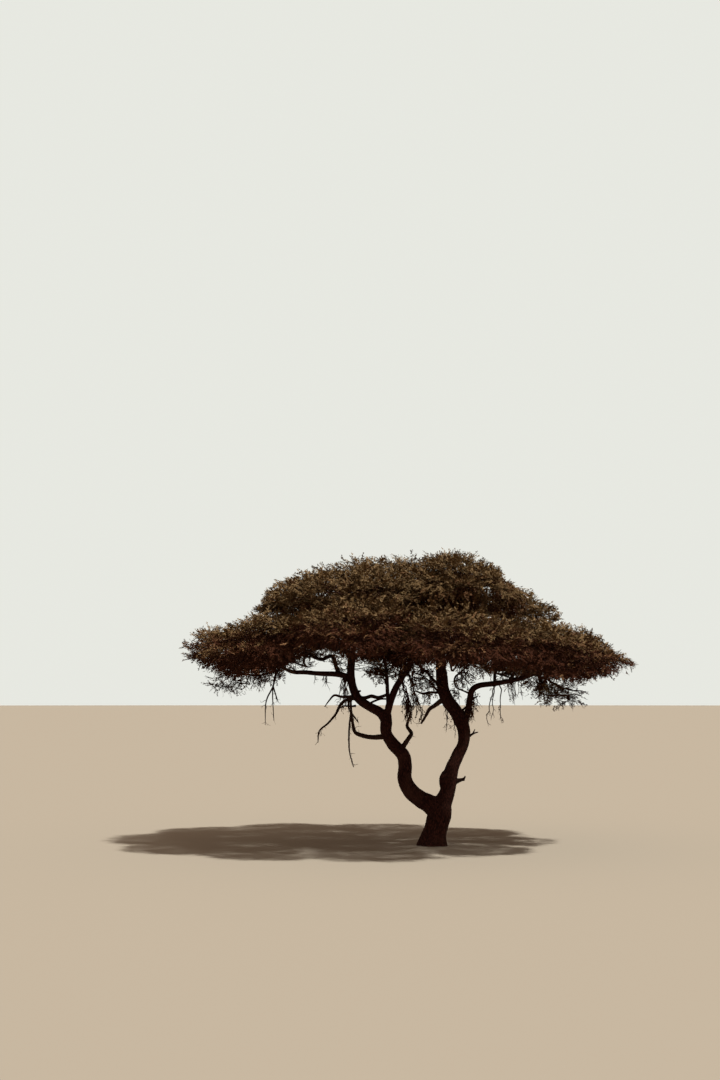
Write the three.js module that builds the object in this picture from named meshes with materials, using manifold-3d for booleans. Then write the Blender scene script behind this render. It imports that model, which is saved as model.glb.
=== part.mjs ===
// A lone acacia with a wide, flat-domed crown: a short leaning trunk forks low into two sinuous stems, gnarled boughs
// rise from them to masses of fine foliage, and a few dead snags and hanging twigs are left below the crown.
// Lengths are in millimetres. X runs along the crown's long axis, Y through its depth and Z up, and the origin is the
// middle of the flat cut under the trunk.
import * as THREE from "three";
import { mergeVertices } from "three/addons/utils/BufferGeometryUtils.js";
import Module from "manifold-3d";

const wasm = await Module();
wasm.setup();

// The crown is a dome over an ellipse whose middle stands left of the foot. Its top falls from the middle to the rim,
// a little more on the right, and sags at its two long ends.
const CROWN = {
  middleX: -470,
  middleY: 0,
  halfWidth: 4670,
  halfDepth: 4300,
  top: 5850,
  drop: 1950,
  power: 2.2,
  leanRight: 0.12,
  endSag: 200,
};

// Masses of foliage stand in rings round the crown's middle. Share is the ring's place between middle and rim; reach is
// a mass's half size outwards, across and upwards; tilt is how far it leans outwards, in degrees; footBack is how far
// inwards its stem starts.
const RINGS = [
  { name: "outer", count: 10, share: 0.76, turn: 0, reach: [1150, 1280, 600], tilt: 13, footBack: 0.55, twigs: 13 },
  { name: "inner", count: 5, share: 0.42, turn: 18, reach: [1380, 1400, 700], tilt: 8, footBack: 0.55, twigs: 13 },
  { name: "top", count: 1, share: 0, turn: 0, reach: [1330, 1330, 650], tilt: 0, footBack: 0, twigs: 13 },
];
// Masses whose top stands above or below the dome by a lift, and those that are slighter than the rest of their ring.
const LIFTS = {
  outer_1: 220,
  outer_2: 100,
  outer_4: 140,
  outer_6: 70,
  outer_8: 120,
  outer_10: 80,
  inner_3: 130,
  inner_4: 130,
  inner_5: 370,
  top_1: 30,
};
const SIZES = {
  outer_1: 0.92,
  outer_2: 0.9,
  outer_4: 0.9,
  outer_6: 1.04,
  outer_8: 0.9,
  outer_10: 0.9,
  inner_1: 0.94,
  inner_5: 0.82,
};

// Small leafy masses that hang below the crown, each with its middle, its reach, and its foot on a limb. The one in the
// middle of the crown is dense, with a core of its own.
const HANGING = {
  lower_centre: { middle: [-620, -680, 3930], reach: [640, 560, 400], foot: [-560, -420, 3720], twigs: 9, core: true },
  hanging_left: { middle: [-4230, -60, 3270], reach: [520, 430, 330], foot: [-3860, -50, 3440], twigs: 5 },
  hanging_middle: { middle: [-1170, -200, 3500], reach: [330, 310, 250], foot: [-1050, -212, 3500], twigs: 5 },
  hanging_right: { middle: [2720, -110, 3060], reach: [470, 430, 390], foot: [2480, -90, 3235], twigs: 5 },
};

// How a mass is made up.
const CORE_SHARE = 0.78; // of the mass's reach
const STEM_RADIUS = 27;
const TWIG_RADIUS = 15;
const TWIG_TIP_RADIUS = 7;
const TWIG_REACH = 0.62; // of the mass's reach
const TIP_REACH = 0.86; // of the one twig that runs outwards to the crown's rim
const LEAVES_PER_TWIG = { dense: 2, open: 3 };
const LEAF_SPACING = { dense: 0.1, open: 0.22 }; // of the twig's length
const LEAF = { length: 640, width: 280, thickness: 20, sunk: 9 };
const LEAF_SIZES = [1, 0.85, 0.7, 0.55, 0.4]; // tried from the largest, until a leaf keeps to its mass's space
const OPEN_LEAF_SIZE = 0.5; // of a leaf in a dense mass
const SLIVER = 2; // edges that fusing leaves shorter than this are closed up

// Clearances
const GAP = 0.3; // between solids that meet
const CELL_MARGIN = 18; // between a leaf and its mass's border
const LIMB_MARGIN = 22; // between a leaf or twig and a limb
const CELL_HEIGHT_SCALE = 1.5; // heights count more than widths where masses share out the space
const CELL_WEIGHT = 0.6; // of its reach, by which a large mass takes more space than a small one

// The trunk's foot spreads into low root buttresses below this height.
const ROOT_FLARE = { height: 400, spread: 0.32, buttresses: 5, depth: 0.12 };

// Limbs that the tree shows, each a route of stations from root to tip: x, y, z and the radius there. A limb with a
// split bends round a wide gap and is two solids, parted at that share of its length. One with a mass ends at its foot.
const LIMBS = {
  trunk: {
    sides: 16,
    rings: 9,
    route: [[0, 0, -60, 234], [18, 0, 200, 232], [84, 0, 420, 226], [127, 0, 600, 241], [141, 0, 760, 244], [150, 0, 880, 178]],
  },
  right_stem: {
    on: "trunk",
    split: 0.46,
    names: ["right_stem_lower", "right_stem_upper"],
    sides: 10,
    rings: 15,
    route: [
      [150, 0, 650, 196], [205, 5, 860, 172], [292, 10, 1050, 154], [328, 15, 1290, 160], [390, 20, 1540, 136],
      [500, 30, 1780, 124], [612, 40, 2010, 116], [642, 50, 2200, 124], [618, 60, 2400, 134], [600, 65, 2570, 118],
    ],
  },
  left_stem: {
    on: "trunk",
    split: 0.45,
    names: ["left_stem_lower", "left_stem_upper"],
    sides: 10,
    rings: 15,
    route: [
      [110, 0, 660, 178], [-60, 0, 815, 184], [-268, -10, 926, 172], [-468, -25, 1112, 158], [-572, -40, 1340, 146],
      [-556, -50, 1580, 138], [-604, -60, 1815, 136], [-810, -80, 2030, 124], [-932, -100, 2240, 112],
      [-946, -110, 2440, 114], [-936, -115, 2620, 98],
    ],
  },
  right_bough: {
    on: "right_stem",
    mass: "inner_5",
    sides: 8,
    rings: 10,
    route: [[605, 62, 2440, 130], [480, 60, 2670, 132], [330, 50, 2880, 128], [228, 40, 3120, 118], [186, 10, 3400, 106], [170, -110, 3720, 88]],
  },
  left_bough: {
    on: "left_stem",
    mass: "inner_3",
    split: 0.42,
    names: ["left_bough_lower", "left_bough_upper"],
    sides: 8,
    rings: 12,
    route: [
      [-925, -112, 2450, 96], [-1060, -110, 2655, 98], [-1290, -90, 2782, 92], [-1505, -60, 2935, 88],
      [-1622, -20, 3160, 86], [-1682, 20, 3420, 80], [-1690, 70, 3700, 72],
    ],
  },
  left_inner_bough: {
    on: "left_stem",
    mass: "top_1",
    sides: 7,
    rings: 11,
    route: [[-935, -118, 2500, 66], [-880, -130, 2820, 62], [-770, -110, 3120, 56], [-600, -80, 3380, 50], [-440, -50, 3680, 46]],
  },
  left_upright: {
    on: "left_inner_bough",
    mass: "inner_4",
    sides: 7,
    rings: 9,
    route: [[-890, -125, 2740, 40], [-930, -170, 3050, 38], [-955, -230, 3380, 36], [-1010, -420, 3820, 34]],
  },
  right_long_bough: {
    on: "right_stem",
    mass: "outer_1",
    split: 0.36,
    names: ["right_riser", "right_long_bough"],
    sides: 8,
    rings: 16,
    route: [
      [632, 66, 2420, 74], [722, 60, 2680, 70], [762, 40, 2920, 65], [812, 20, 3115, 63], [960, 0, 3205, 59],
      [1240, -20, 3240, 55], [1560, -20, 3290, 51], [1920, -10, 3385, 47],
    ],
  },
  left_long_bough: {
    on: "left_bough",
    mass: "outer_6",
    sides: 7,
    rings: 12,
    route: [[-1650, 0, 3290, 62], [-1800, -10, 3425, 57], [-2010, -20, 3472, 52], [-2300, -20, 3485, 48], [-2600, -10, 3528, 45], [-2890, 0, 3520, 42]],
  },
  left_curled_bough: {
    on: "left_long_bough",
    mass: "outer_5",
    sides: 6,
    rings: 13,
    route: [[-1800, -5, 3430, 38], [-1895, 30, 3570, 37], [-1985, 60, 3735, 35], [-2120, 90, 3822, 34], [-2310, 150, 3790, 33], [-2500, 420, 3800, 32]],
  },
  right_droop: {
    on: "right_long_bough",
    mass: "hanging_right",
    sides: 6,
    rings: 6,
    route: [[2050, -10, 3430, 28], [2220, -60, 3370, 26], [2370, -80, 3300, 25]],
  },
  centre_droop: {
    on: "left_inner_bough",
    mass: "lower_centre",
    sides: 6,
    rings: 5,
    route: [[-690, -95, 3250, 30], [-668, -180, 3420, 28], [-620, -300, 3600, 27]],
  },
  left_droop: {
    on: "left_long_bough",
    mass: "hanging_left",
    sides: 6,
    rings: 6,
    route: [[-3100, -5, 3560, 26], [-3330, -50, 3450, 25], [-3600, -50, 3405, 24]],
  },
  middle_droop: {
    on: "left_upright",
    mass: "hanging_middle",
    sides: 6,
    rings: 4,
    route: [[-946, -210, 3250, 24], [-985, -215, 3370, 22], [-1020, -215, 3450, 21]],
  },
  cross_bough: {
    on: "left_bough",
    sides: 6,
    rings: 8,
    route: [[-1500, -60, 2935, 38], [-1350, -85, 2950, 33], [-1200, -110, 2962, 31], [-1060, -140, 2972, 29], [-935, -165, 2985, 27]],
  },
  right_cross_twig: {
    on: "right_bough",
    sides: 5,
    rings: 6,
    route: [[240, 40, 3060, 27], [-40, 10, 3062, 22], [-200, 0, 3042, 19], [-335, -10, 3105, 12]],
  },
  right_inner_snag: {
    on: "right_bough",
    sides: 6,
    rings: 8,
    route: [[290, 45, 2980, 46], [50, 20, 2800, 35], [-60, 10, 2725, 29], [-150, 0, 2565, 23], [-235, -10, 2430, 13]],
  },
  middle_snag: {
    on: "left_stem",
    sides: 6,
    rings: 9,
    route: [[-650, -65, 1900, 44], [-505, -60, 2110, 35], [-430, -60, 2240, 30], [-512, -60, 2370, 25], [-490, -60, 2500, 20], [-425, -60, 2660, 11]],
  },
  low_snag: {
    on: "left_stem",
    sides: 5,
    rings: 12,
    route: [
      [-900, -95, 2180, 54], [-1230, -115, 2160, 42], [-1440, -125, 2200, 38], [-1572, -130, 2268, 33],
      [-1615, -140, 2440, 26], [-1648, -150, 2680, 19], [-1690, -165, 2850, 11],
    ],
    twigs: [
      [[-1580, -130, 2280, 17], [-1690, -140, 2090, 14], [-1668, -145, 1840, 11], [-1597, -150, 1560, 6]],
      [[-1642, -148, 2640, 15], [-1575, -150, 2560, 12], [-1500, -155, 2450, 7]],
    ],
  },
  high_snag: {
    on: "left_bough",
    sides: 5,
    rings: 12,
    route: [
      [-1560, -45, 2960, 42], [-1730, -100, 2915, 32], [-1860, -120, 2825, 27], [-1965, -130, 2620, 22],
      [-2125, -140, 2435, 19], [-2290, -150, 2285, 15], [-2322, -150, 2050, 8],
    ],
    twigs: [
      [[-1700, -95, 2925, 20], [-1850, -110, 2975, 17], [-1990, -120, 3005, 14], [-2095, -125, 2900, 11], [-2190, -130, 2770, 6]],
      [[-1700, -95, 2925, 22], [-1700, -110, 2780, 17], [-1690, -120, 2690, 9]],
    ],
  },
  left_dangling_twigs: {
    on: "left_long_bough",
    sides: 4,
    rings: 8,
    route: [[-3130, -5, 3560, 22], [-3205, -35, 3400, 18], [-3256, -50, 3174, 13], [-3390, -60, 2872, 10], [-3405, -60, 2404, 5]],
    twigs: [
      [[-3250, -48, 3190, 12], [-3190, -50, 3000, 10], [-3144, -50, 2870, 6]],
      [[-3255, -50, 3180, 11], [-3256, -55, 2930, 9], [-3228, -60, 2490, 5]],
    ],
  },
};

// Lumps and short spurs that are one piece with a stem: the burl inside the right stem's bend, a stub and two spurs.
const BURL = { on: "right_stem", middle: [212, 5, 1330], reach: [118, 120, 150] };
const SPURS = [
  { on: "right_stem", route: [[430, 20, 1290, 56], [560, 5, 1312, 40], [660, -5, 1345, 22]] },
  { on: "right_stem", route: [[660, 50, 2120, 30], [830, 40, 2235, 19], [915, 35, 2262, 9]] },
  { on: "right_long_bough", route: [[765, 40, 2930, 28], [850, 35, 2960, 19], [925, 30, 2990, 10]] },
];

// Boughs that no view shows in full rise from a share of another limb's length to the foot of a mass.
const FEEDERS = [
  { mass: "outer_2", on: "right_long_bough", share: 0.5 },
  { mass: "outer_10", on: "right_long_bough", share: 0.62 },
  { mass: "outer_3", on: "right_bough", share: 0.66 },
  { mass: "outer_9", on: "right_bough", share: 0.58 },
  { mass: "outer_4", on: "left_inner_bough", share: 0.5 },
  { mass: "outer_8", on: "left_inner_bough", share: 0.44 },
  { mass: "outer_7", on: "left_bough", share: 0.66 },
  { mass: "inner_1", on: "right_bough", share: 0.74 },
  { mass: "inner_2", on: "right_bough", share: 0.8 },
];
const FEEDER = { baseShare: 0.62, tipRadius: 28, sides: 6, rings: 7, rise: 0.16, sway: 0.05 };

const UP = new THREE.Vector3(0, 0, 1);

/** Gives a function that returns the next number from 0 to 1, the same sequence each time for one seed. */
function seeded(seed) {
  let state = seed;
  return () => {
    state = (state * 16807) % 2147483647;
    return state / 2147483647;
  };
}

/** Point i of n spread evenly over a unit sphere, in golden-angle steps, with the middle one along the first axis. */
function evenDirection(i, n) {
  const height = 1 - (2 * i + 1) / n;
  const turn = (i - (n - 1) / 2) * Math.PI * (3 - Math.sqrt(5));
  const ring = Math.sqrt(1 - height * height);
  return new THREE.Vector3(ring * Math.cos(turn), ring * Math.sin(turn), height);
}

/** A closed three.js geometry as a solid. */
function solidOf(geometry) {
  const bare = geometry.clone();
  bare.deleteAttribute("normal");
  bare.deleteAttribute("uv");
  const merged = mergeVertices(bare, 1e-3);
  return new wasm.Manifold(
    new wasm.Mesh({
      numProp: 3,
      vertProperties: merged.getAttribute("position").array,
      triVerts: new Uint32Array(merged.index.array),
    }),
  );
}

/** The largest piece of a solid, without the scraps that a cut leaves. */
function largest(solid) {
  const pieces = solid.decompose();
  return pieces.reduce((best, piece) => (piece.volume() > best.volume() ? piece : best));
}

/** A named mesh from a solid. */
function meshOf(name, solid, material) {
  const { numProp, vertProperties, triVerts } = solid.getMesh();
  const positions = new Float32Array((vertProperties.length / numProp) * 3);
  for (let i = 0; i * 3 < positions.length; i++) {
    positions.set(vertProperties.subarray(i * numProp, i * numProp + 3), i * 3);
  }
  const geometry = new THREE.BufferGeometry()
    .setAttribute("position", new THREE.BufferAttribute(positions, 3))
    .setIndex(new THREE.BufferAttribute(triVerts, 1));
  geometry.computeVertexNormals();
  const mesh = new THREE.Mesh(geometry, material);
  mesh.name = name;
  return mesh;
}

/** A limb from its route: a smooth curve, its frames at each ring, and its radius along it. */
function limbFrom(route, rings, sides, flare = () => 1) {
  const points = route.map(([x, y, z]) => new THREE.Vector3(x, y, z));
  const curve = new THREE.CatmullRomCurve3(points, false, "catmullrom", 0.5);
  curve.arcLengthDivisions = 400;
  const radii = route.map((station) => station[3]);
  const radiusAt = (share) => {
    const place = curve.getUtoTmapping(share) * (radii.length - 1);
    const before = Math.min(Math.floor(place), radii.length - 2);
    return THREE.MathUtils.lerp(radii[before], radii[before + 1], place - before);
  };
  return { curve, radiusAt, rings, sides, flare, frames: curve.computeFrenetFrames(rings, false) };
}

/** The solid of a limb from one ring to another: a closed cylinder bent along the limb, larger by grow all round. */
function sweep(limb, grow = 0, first = 0, last = limb.rings) {
  const { curve, frames, rings } = limb;
  const geometry = new THREE.CylinderGeometry(1, 1, 1, limb.sides, last - first);
  const position = geometry.getAttribute("position");
  const corner = new THREE.Vector3();
  for (let i = 0; i < position.count; i++) {
    corner.fromBufferAttribute(position, i);
    const ring = Math.round(first + (corner.y + 0.5) * (last - first));
    const share = ring / rings;
    const centre = curve.getPointAt(share);
    // Where a limb is parted in two, the upper solid starts a gap beyond the lower one.
    const shift = (ring === last ? grow : 0) + (ring === first ? (first > 0 ? GAP : 0) - grow : 0);
    centre.addScaledVector(frames.tangents[ring], shift);
    const radius = limb.radiusAt(share) * limb.flare(centre.z, Math.atan2(corner.z, corner.x)) + grow;
    centre.addScaledVector(frames.normals[ring], corner.x * radius);
    centre.addScaledVector(frames.binormals[ring], -corner.z * radius);
    position.setXYZ(i, centre.x, centre.y, centre.z);
  }
  return solidOf(geometry);
}

/** The spread of the trunk's foot at a height, lobed into root buttresses. */
function rootFlare(height, angle) {
  const low = Math.max(0, 1 - Math.max(0, height) / ROOT_FLARE.height) ** 2;
  return 1 + low * (ROOT_FLARE.spread + ROOT_FLARE.depth * Math.cos(ROOT_FLARE.buttresses * angle));
}

/** A mass of one ring: its middle, its three axes, its reach along them, and the foot where its stem starts. */
function massOf(ring, index) {
  const name = `${ring.name}_${index + 1}`;
  const angle = THREE.MathUtils.degToRad(ring.turn + (index * 360) / ring.count);
  const tilt = THREE.MathUtils.degToRad(ring.tilt);
  const x = CROWN.middleX + ring.share * CROWN.halfWidth * Math.cos(angle);
  const y = CROWN.middleY + ring.share * CROWN.halfDepth * Math.sin(angle);
  const sag = CROWN.endSag * Math.abs(Math.cos(angle)) * (ring.share / RINGS[0].share) ** 2;
  const fall = CROWN.drop * ring.share ** CROWN.power + CROWN.leanRight * Math.max(0, x) + sag;
  const reach = ring.reach.map((size) => size * (SIZES[name] ?? 1));
  const middle = new THREE.Vector3(x, y, CROWN.top - fall + (LIFTS[name] ?? 0) - reach[2]);
  const out = new THREE.Vector3(Math.cos(angle) * Math.cos(tilt), Math.sin(angle) * Math.cos(tilt), -Math.sin(tilt));
  const across = new THREE.Vector3(-Math.sin(angle), Math.cos(angle), 0);
  const up = out.clone().cross(across);
  const foot = middle
    .clone()
    .addScaledVector(out, -ring.footBack * reach[0])
    .addScaledVector(up, -0.8 * reach[2]);
  return { name, middle, axes: [out, across, up], reach, foot, twigs: ring.twigs, core: CORE_SHARE };
}

/** A hanging mass, which stands upright. */
function hangingMass(name, { middle, reach, foot, twigs, core }) {
  const axes = [new THREE.Vector3(1, 0, 0), new THREE.Vector3(0, 1, 0), UP.clone()];
  return { name, middle: new THREE.Vector3(...middle), axes, reach, foot: new THREE.Vector3(...foot), twigs, core: core ? CORE_SHARE : 0 };
}

/** The point of a mass that lies this far along its three axes, as shares of its reach. */
function placeIn(mass, shares) {
  const place = mass.middle.clone();
  mass.axes.forEach((axis, i) => place.addScaledVector(axis, shares.getComponent(i) * mass.reach[i]));
  return place;
}

/** How far out of its middle a point of a mass lies: 1 on its surface. */
function depthIn(mass, point) {
  const offset = point.clone().sub(mass.middle);
  return Math.hypot(...mass.axes.map((axis, i) => offset.dot(axis) / mass.reach[i]));
}

/** True where a point lies in a mass's own cell: past the plane that parts it from each other mass, by a margin. */
function inCell(mass, masses, point, margin) {
  const scaled = (v) => new THREE.Vector3(v.x, v.y, v.z * CELL_HEIGHT_SCALE);
  const here = scaled(point);
  const own = scaled(mass.middle);
  const rank = (m, middle) => here.distanceToSquared(middle) - (CELL_WEIGHT * m.reach[0]) ** 2;
  return masses.every((other) => {
    if (other === mass) return true;
    const far = scaled(other.middle);
    return (rank(other, far) - rank(mass, own)) / (2 * own.distanceTo(far)) > margin;
  });
}

/** A test that a point is in a mass's space and clear of every limb. */
function spaceOf(mass, masses, stations) {
  return (point, margin = CELL_MARGIN) =>
    depthIn(mass, point) < 1 &&
    inCell(mass, masses, point, margin) &&
    stations.every(({ centre, radius }) => centre.distanceTo(point) > radius + LIMB_MARGIN);
}

/** The core of a dense mass: a lumpy squashed ball, drawn in where it would leave the mass's cell. */
function coreOf(mass, masses) {
  const geometry = new THREE.IcosahedronGeometry(1, 1);
  const position = geometry.getAttribute("position");
  const corner = new THREE.Vector3();
  for (let i = 0; i < position.count; i++) {
    corner.fromBufferAttribute(position, i);
    const lump = 1 + 0.1 * Math.sin(4 * corner.x + mass.middle.x) * Math.cos(3 * corner.y + mass.middle.y);
    corner.multiplyScalar(mass.core * lump);
    while (!inCell(mass, masses, placeIn(mass, corner), CELL_MARGIN)) corner.multiplyScalar(0.94);
    const place = placeIn(mass, corner);
    position.setXYZ(i, place.x, place.y, place.z);
  }
  return solidOf(geometry);
}

/** A leaf that stands for a spray: a thin eight-faced blade from its root along a direction, level side to side. */
function leafPoints(root, direction, roll, size) {
  const side = direction.clone().cross(UP).normalize().applyAxisAngle(direction, roll);
  const face = side.clone().cross(direction).normalize();
  const at = (along, out, thick) =>
    root
      .clone()
      .addScaledVector(direction, along * LEAF.length * size - LEAF.sunk)
      .addScaledVector(side, out * LEAF.width * size)
      .addScaledVector(face, thick * LEAF.thickness);
  return [at(0, 0, 0), at(1, 0, 0), at(0.45, 0.5, 0), at(0.45, -0.5, 0), at(0.45, 0, 0.5), at(0.45, 0, -0.5)];
}

/** The solid of a leaf from its six corners: root, tip, two sides and two faces. */
function leafSolid(corners) {
  const [root, tip, left, right, top, under] = corners;
  const faces = [
    [root, left, top], [left, tip, top], [tip, right, top], [right, root, top],
    [left, root, under], [tip, left, under], [right, tip, under], [root, right, under],
  ];
  const geometry = new THREE.BufferGeometry().setFromPoints(faces.flat());
  const solid = solidOf(geometry);
  if (solid.volume() > 0) return solid;
  return solidOf(new THREE.BufferGeometry().setFromPoints(faces.map((face) => face.toReversed()).flat()));
}

/** Grows a mass by one seeded rule: a stem from its foot, twigs off the stem in even directions, leaves off the twigs. */
function growMass(mass, masses, stations, seed) {
  const random = seeded(seed);
  const fits = spaceOf(mass, masses, stations);
  const kind = mass.core ? "dense" : "open";
  const pieces = mass.core ? [coreOf(mass, masses)] : [];
  const stemEnd = placeIn(mass, new THREE.Vector3(0.3, 0, 0.1));
  const toEnd = stemEnd.clone().sub(mass.foot);
  const stemStart = mass.foot.clone().addScaledVector(mass.entry, -40);
  const bend = mass.foot.clone().addScaledVector(mass.entry, toEnd.length() * 0.35);
  const stem = limbFrom([stemStart, bend, stemEnd].map((p, i) => [p.x, p.y, p.z, STEM_RADIUS - 4 * i]), 4, 5);
  pieces.push(sweep(stem));
  for (let i = 0; i < mass.twigs; i++) {
    const direction = evenDirection(i, mass.twigs);
    const start = stem.curve.getPointAt(0.45 + 0.27 * (direction.x + 1));
    const reach = i === (mass.twigs - 1) / 2 ? TIP_REACH : TWIG_REACH;
    const end = placeIn(mass, direction.clone().multiplyScalar(reach));
    const middle = start.clone().lerp(end, 0.5).addScaledVector(UP, 0.1 * start.distanceTo(end) * (random() - 0.3));
    const stations3 = [start, middle, end].map((p, k) => [p.x, p.y, p.z, THREE.MathUtils.lerp(TWIG_RADIUS, TWIG_TIP_RADIUS, k / 2)]);
    if (!fits(end) || !fits(middle)) continue;
    const twig = limbFrom(stations3, 2, 3);
    pieces.push(sweep(twig));
    for (let k = 0; k < LEAVES_PER_TWIG[kind]; k++) {
      const share = 0.98 - k * LEAF_SPACING[kind];
      const heading = twig.curve.getTangentAt(share);
      const side = heading.clone().cross(mass.axes[2]).normalize();
      const spread = (k % 2 ? 1 : -1) * (0.4 + 0.5 * random());
      const pitch = 0.5 * (random() - 0.45);
      heading.addScaledVector(side, spread).addScaledVector(mass.axes[2], pitch).normalize();
      const root = twig.curve.getPointAt(share);
      const roll = 0.9 * (random() - 0.5);
      const size = (0.85 + 0.3 * random()) * (mass.core ? 1 : OPEN_LEAF_SIZE);
      const corners = LEAF_SIZES.map((part) => leafPoints(root, heading, roll, size * part)).find((points) =>
        points.slice(1).every((corner) => fits(corner)),
      );
      if (corners) pieces.push(leafSolid(corners));
    }
  }
  return wasm.Manifold.union(pieces).simplify(SLIVER);
}

/** Middles and radii along a limb, close enough together to stand for its surface. */
function stationsOf(limb) {
  const count = Math.ceil(limb.curve.getLength() / 50);
  return Array.from({ length: count + 1 }, (_, i) => ({
    centre: limb.curve.getPointAt(i / count),
    radius: limb.radiusAt(i / count),
  }));
}

/** The route of a bough that rises from another limb to the foot of a mass, by one seeded rule. */
function feederRoute({ on, share }, mass, limbs, seed) {
  const random = seeded(seed);
  const parent = limbs.get(on);
  const start = parent.curve.getPointAt(share);
  const base = Math.min(parent.radiusAt(share) * FEEDER.baseShare, 62);
  const way = mass.foot.clone().sub(start);
  const side = way.clone().cross(UP).normalize();
  const at = (along, rise) =>
    start
      .clone()
      .addScaledVector(way, along)
      .addScaledVector(UP, rise * way.length())
      .addScaledVector(side, FEEDER.sway * way.length() * (2 * random() - 1));
  const points = [start, at(0.2, FEEDER.rise * 0.7), at(0.45, FEEDER.rise), at(0.72, FEEDER.rise * 0.6), mass.foot];
  return points.map((p, i) => [p.x, p.y, p.z, THREE.MathUtils.lerp(base, FEEDER.tipRadius, i / 4)]);
}

/** Every limb as a curve with radii, by name, and the direction in which each mass's bough reaches its foot. */
function allLimbs(masses) {
  const limbs = new Map();
  for (const [name, { route, rings, sides, mass }] of Object.entries(LIMBS)) {
    const foot = masses.get(mass)?.foot;
    const full = foot ? [...route, [foot.x, foot.y, foot.z, Math.min(FEEDER.tipRadius, route.at(-1)[3])]] : route;
    limbs.set(name, limbFrom(full, rings, sides, name === "trunk" ? rootFlare : undefined));
  }
  FEEDERS.forEach((feeder, i) => {
    const route = feederRoute(feeder, masses.get(feeder.mass), limbs, 101 + 37 * i);
    limbs.set(`bough_to_${feeder.mass}`, limbFrom(route, FEEDER.rings, FEEDER.sides));
  });
  for (const [name, { mass }] of [...Object.entries(LIMBS), ...FEEDERS.map((f) => [`bough_to_${f.mass}`, f])]) {
    if (mass) masses.get(mass).entry = limbs.get(name).curve.getTangentAt(1);
  }
  return limbs;
}

/** A limb's solid with its side twigs, spurs and burl, and the same grown by the gap, which cuts what meets it. */
function fullLimb(name, limb, grow, first, last) {
  const parts = [sweep(limb, grow, first, last)];
  const inPart = (point) => {
    const ring = nearestRing(limb, point);
    return ring >= first && ring < last;
  };
  const extras = [...(LIMBS[name]?.twigs ?? []), ...SPURS.filter((s) => s.on === name).map((s) => s.route)];
  for (const route of extras) {
    if (inPart(new THREE.Vector3(...route[0]))) parts.push(sweep(limbFrom(route, route.length, 4), grow));
  }
  if (BURL.on === name && inPart(new THREE.Vector3(...BURL.middle))) {
    const ball = new THREE.IcosahedronGeometry(1, 1);
    ball.scale(...BURL.reach.map((size) => size + grow)).translate(...BURL.middle);
    parts.push(solidOf(ball));
  }
  return wasm.Manifold.union(parts);
}

/** The ring of a limb that is nearest to a point. */
function nearestRing(limb, point) {
  let best = 0;
  for (let ring = 1; ring <= limb.rings; ring++) {
    const distance = (r) => limb.curve.getPointAt(r / limb.rings).distanceTo(point);
    if (distance(ring) < distance(best)) best = ring;
  }
  return best;
}

/** True where the boxes of two solids meet. */
function boxesMeet(a, b) {
  const [p, q] = [a.boundingBox(), b.boundingBox()];
  return [0, 1, 2].every((i) => p.min[i] <= q.max[i] && q.min[i] <= p.max[i]);
}

/** A solid less every cutter whose box meets its own. */
function cutClear(solid, cutters) {
  return largest(cutters.filter((cutter) => boxesMeet(solid, cutter)).reduce((rest, cutter) => rest.subtract(cutter), solid));
}

const materials = {
  bark: new THREE.MeshStandardMaterial({ color: 0x33231c, roughness: 0.95, metalness: 0 }),
  deadWood: new THREE.MeshStandardMaterial({ color: 0x3d3029, roughness: 0.95, metalness: 0 }),
  foliage: new THREE.MeshStandardMaterial({ color: 0x4f4529, roughness: 0.85, metalness: 0 }),
};

/** Builds the tree as a group of named meshes. */
function buildTree() {
  const masses = new Map();
  for (const ring of RINGS) {
    for (let i = 0; i < ring.count; i++) {
      const mass = massOf(ring, i);
      masses.set(mass.name, mass);
    }
  }
  for (const [name, sizes] of Object.entries(HANGING)) masses.set(name, hangingMass(name, sizes));
  const limbs = allLimbs(masses);

  const ground = solidOf(new THREE.BoxGeometry(4000, 4000, 400).translate(0, 0, -200));
  const tree = new THREE.Group();
  tree.name = "acacia_tree";
  const cutters = [];
  for (const [name, limb] of limbs) {
    const split = LIMBS[name]?.split;
    const parting = split ? Math.round(split * limb.rings) : limb.rings;
    const spans = split ? [[0, parting], [parting, limb.rings]] : [[0, limb.rings]];
    const before = [...cutters];
    spans.forEach(([first, last], i) => {
      const node = split ? LIMBS[name].names[i] : name;
      let solid = cutClear(fullLimb(name, limb, 0, first, last), before);
      if (name === "trunk") solid = largest(solid.subtract(ground));
      const dead = /snag|dangling/.test(name);
      tree.add(meshOf(node, solid, dead ? materials.deadWood : materials.bark));
      cutters.push(fullLimb(name, limb, GAP, first, last));
    });
  }

  const stations = [...limbs.values()].flatMap(stationsOf);
  const all = [...masses.values()];
  all.forEach((mass, i) => {
    const tip = stations.filter(({ centre }) => centre.distanceTo(mass.foot) > 90);
    const grown = growMass(mass, all, tip, 4001 + 97 * i);
    tree.add(meshOf(`foliage_${mass.name}`, cutClear(grown, cutters), materials.foliage));
  });
  return tree;
}

export default buildTree();
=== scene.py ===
"""The looks of a lone acacia: bark on its trunk and boughs, dead snags, and a wide crown of feathery leaves.

The routes of the limbs, the places of the masses and the rule by which they grow are those of the part's
source, in millimetres as there, and are carried on here to finer twigs. All that is built is in metres, Z up,
with the origin in the middle of the flat cut under the trunk.
"""

from __future__ import annotations

import logging
import math
from collections.abc import Iterable, Sequence
from dataclasses import dataclass, field, fields
from enum import Enum
from itertools import pairwise

import bmesh
import bpy
import numpy as np
from mathutils import Matrix, Vector, noise

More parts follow.
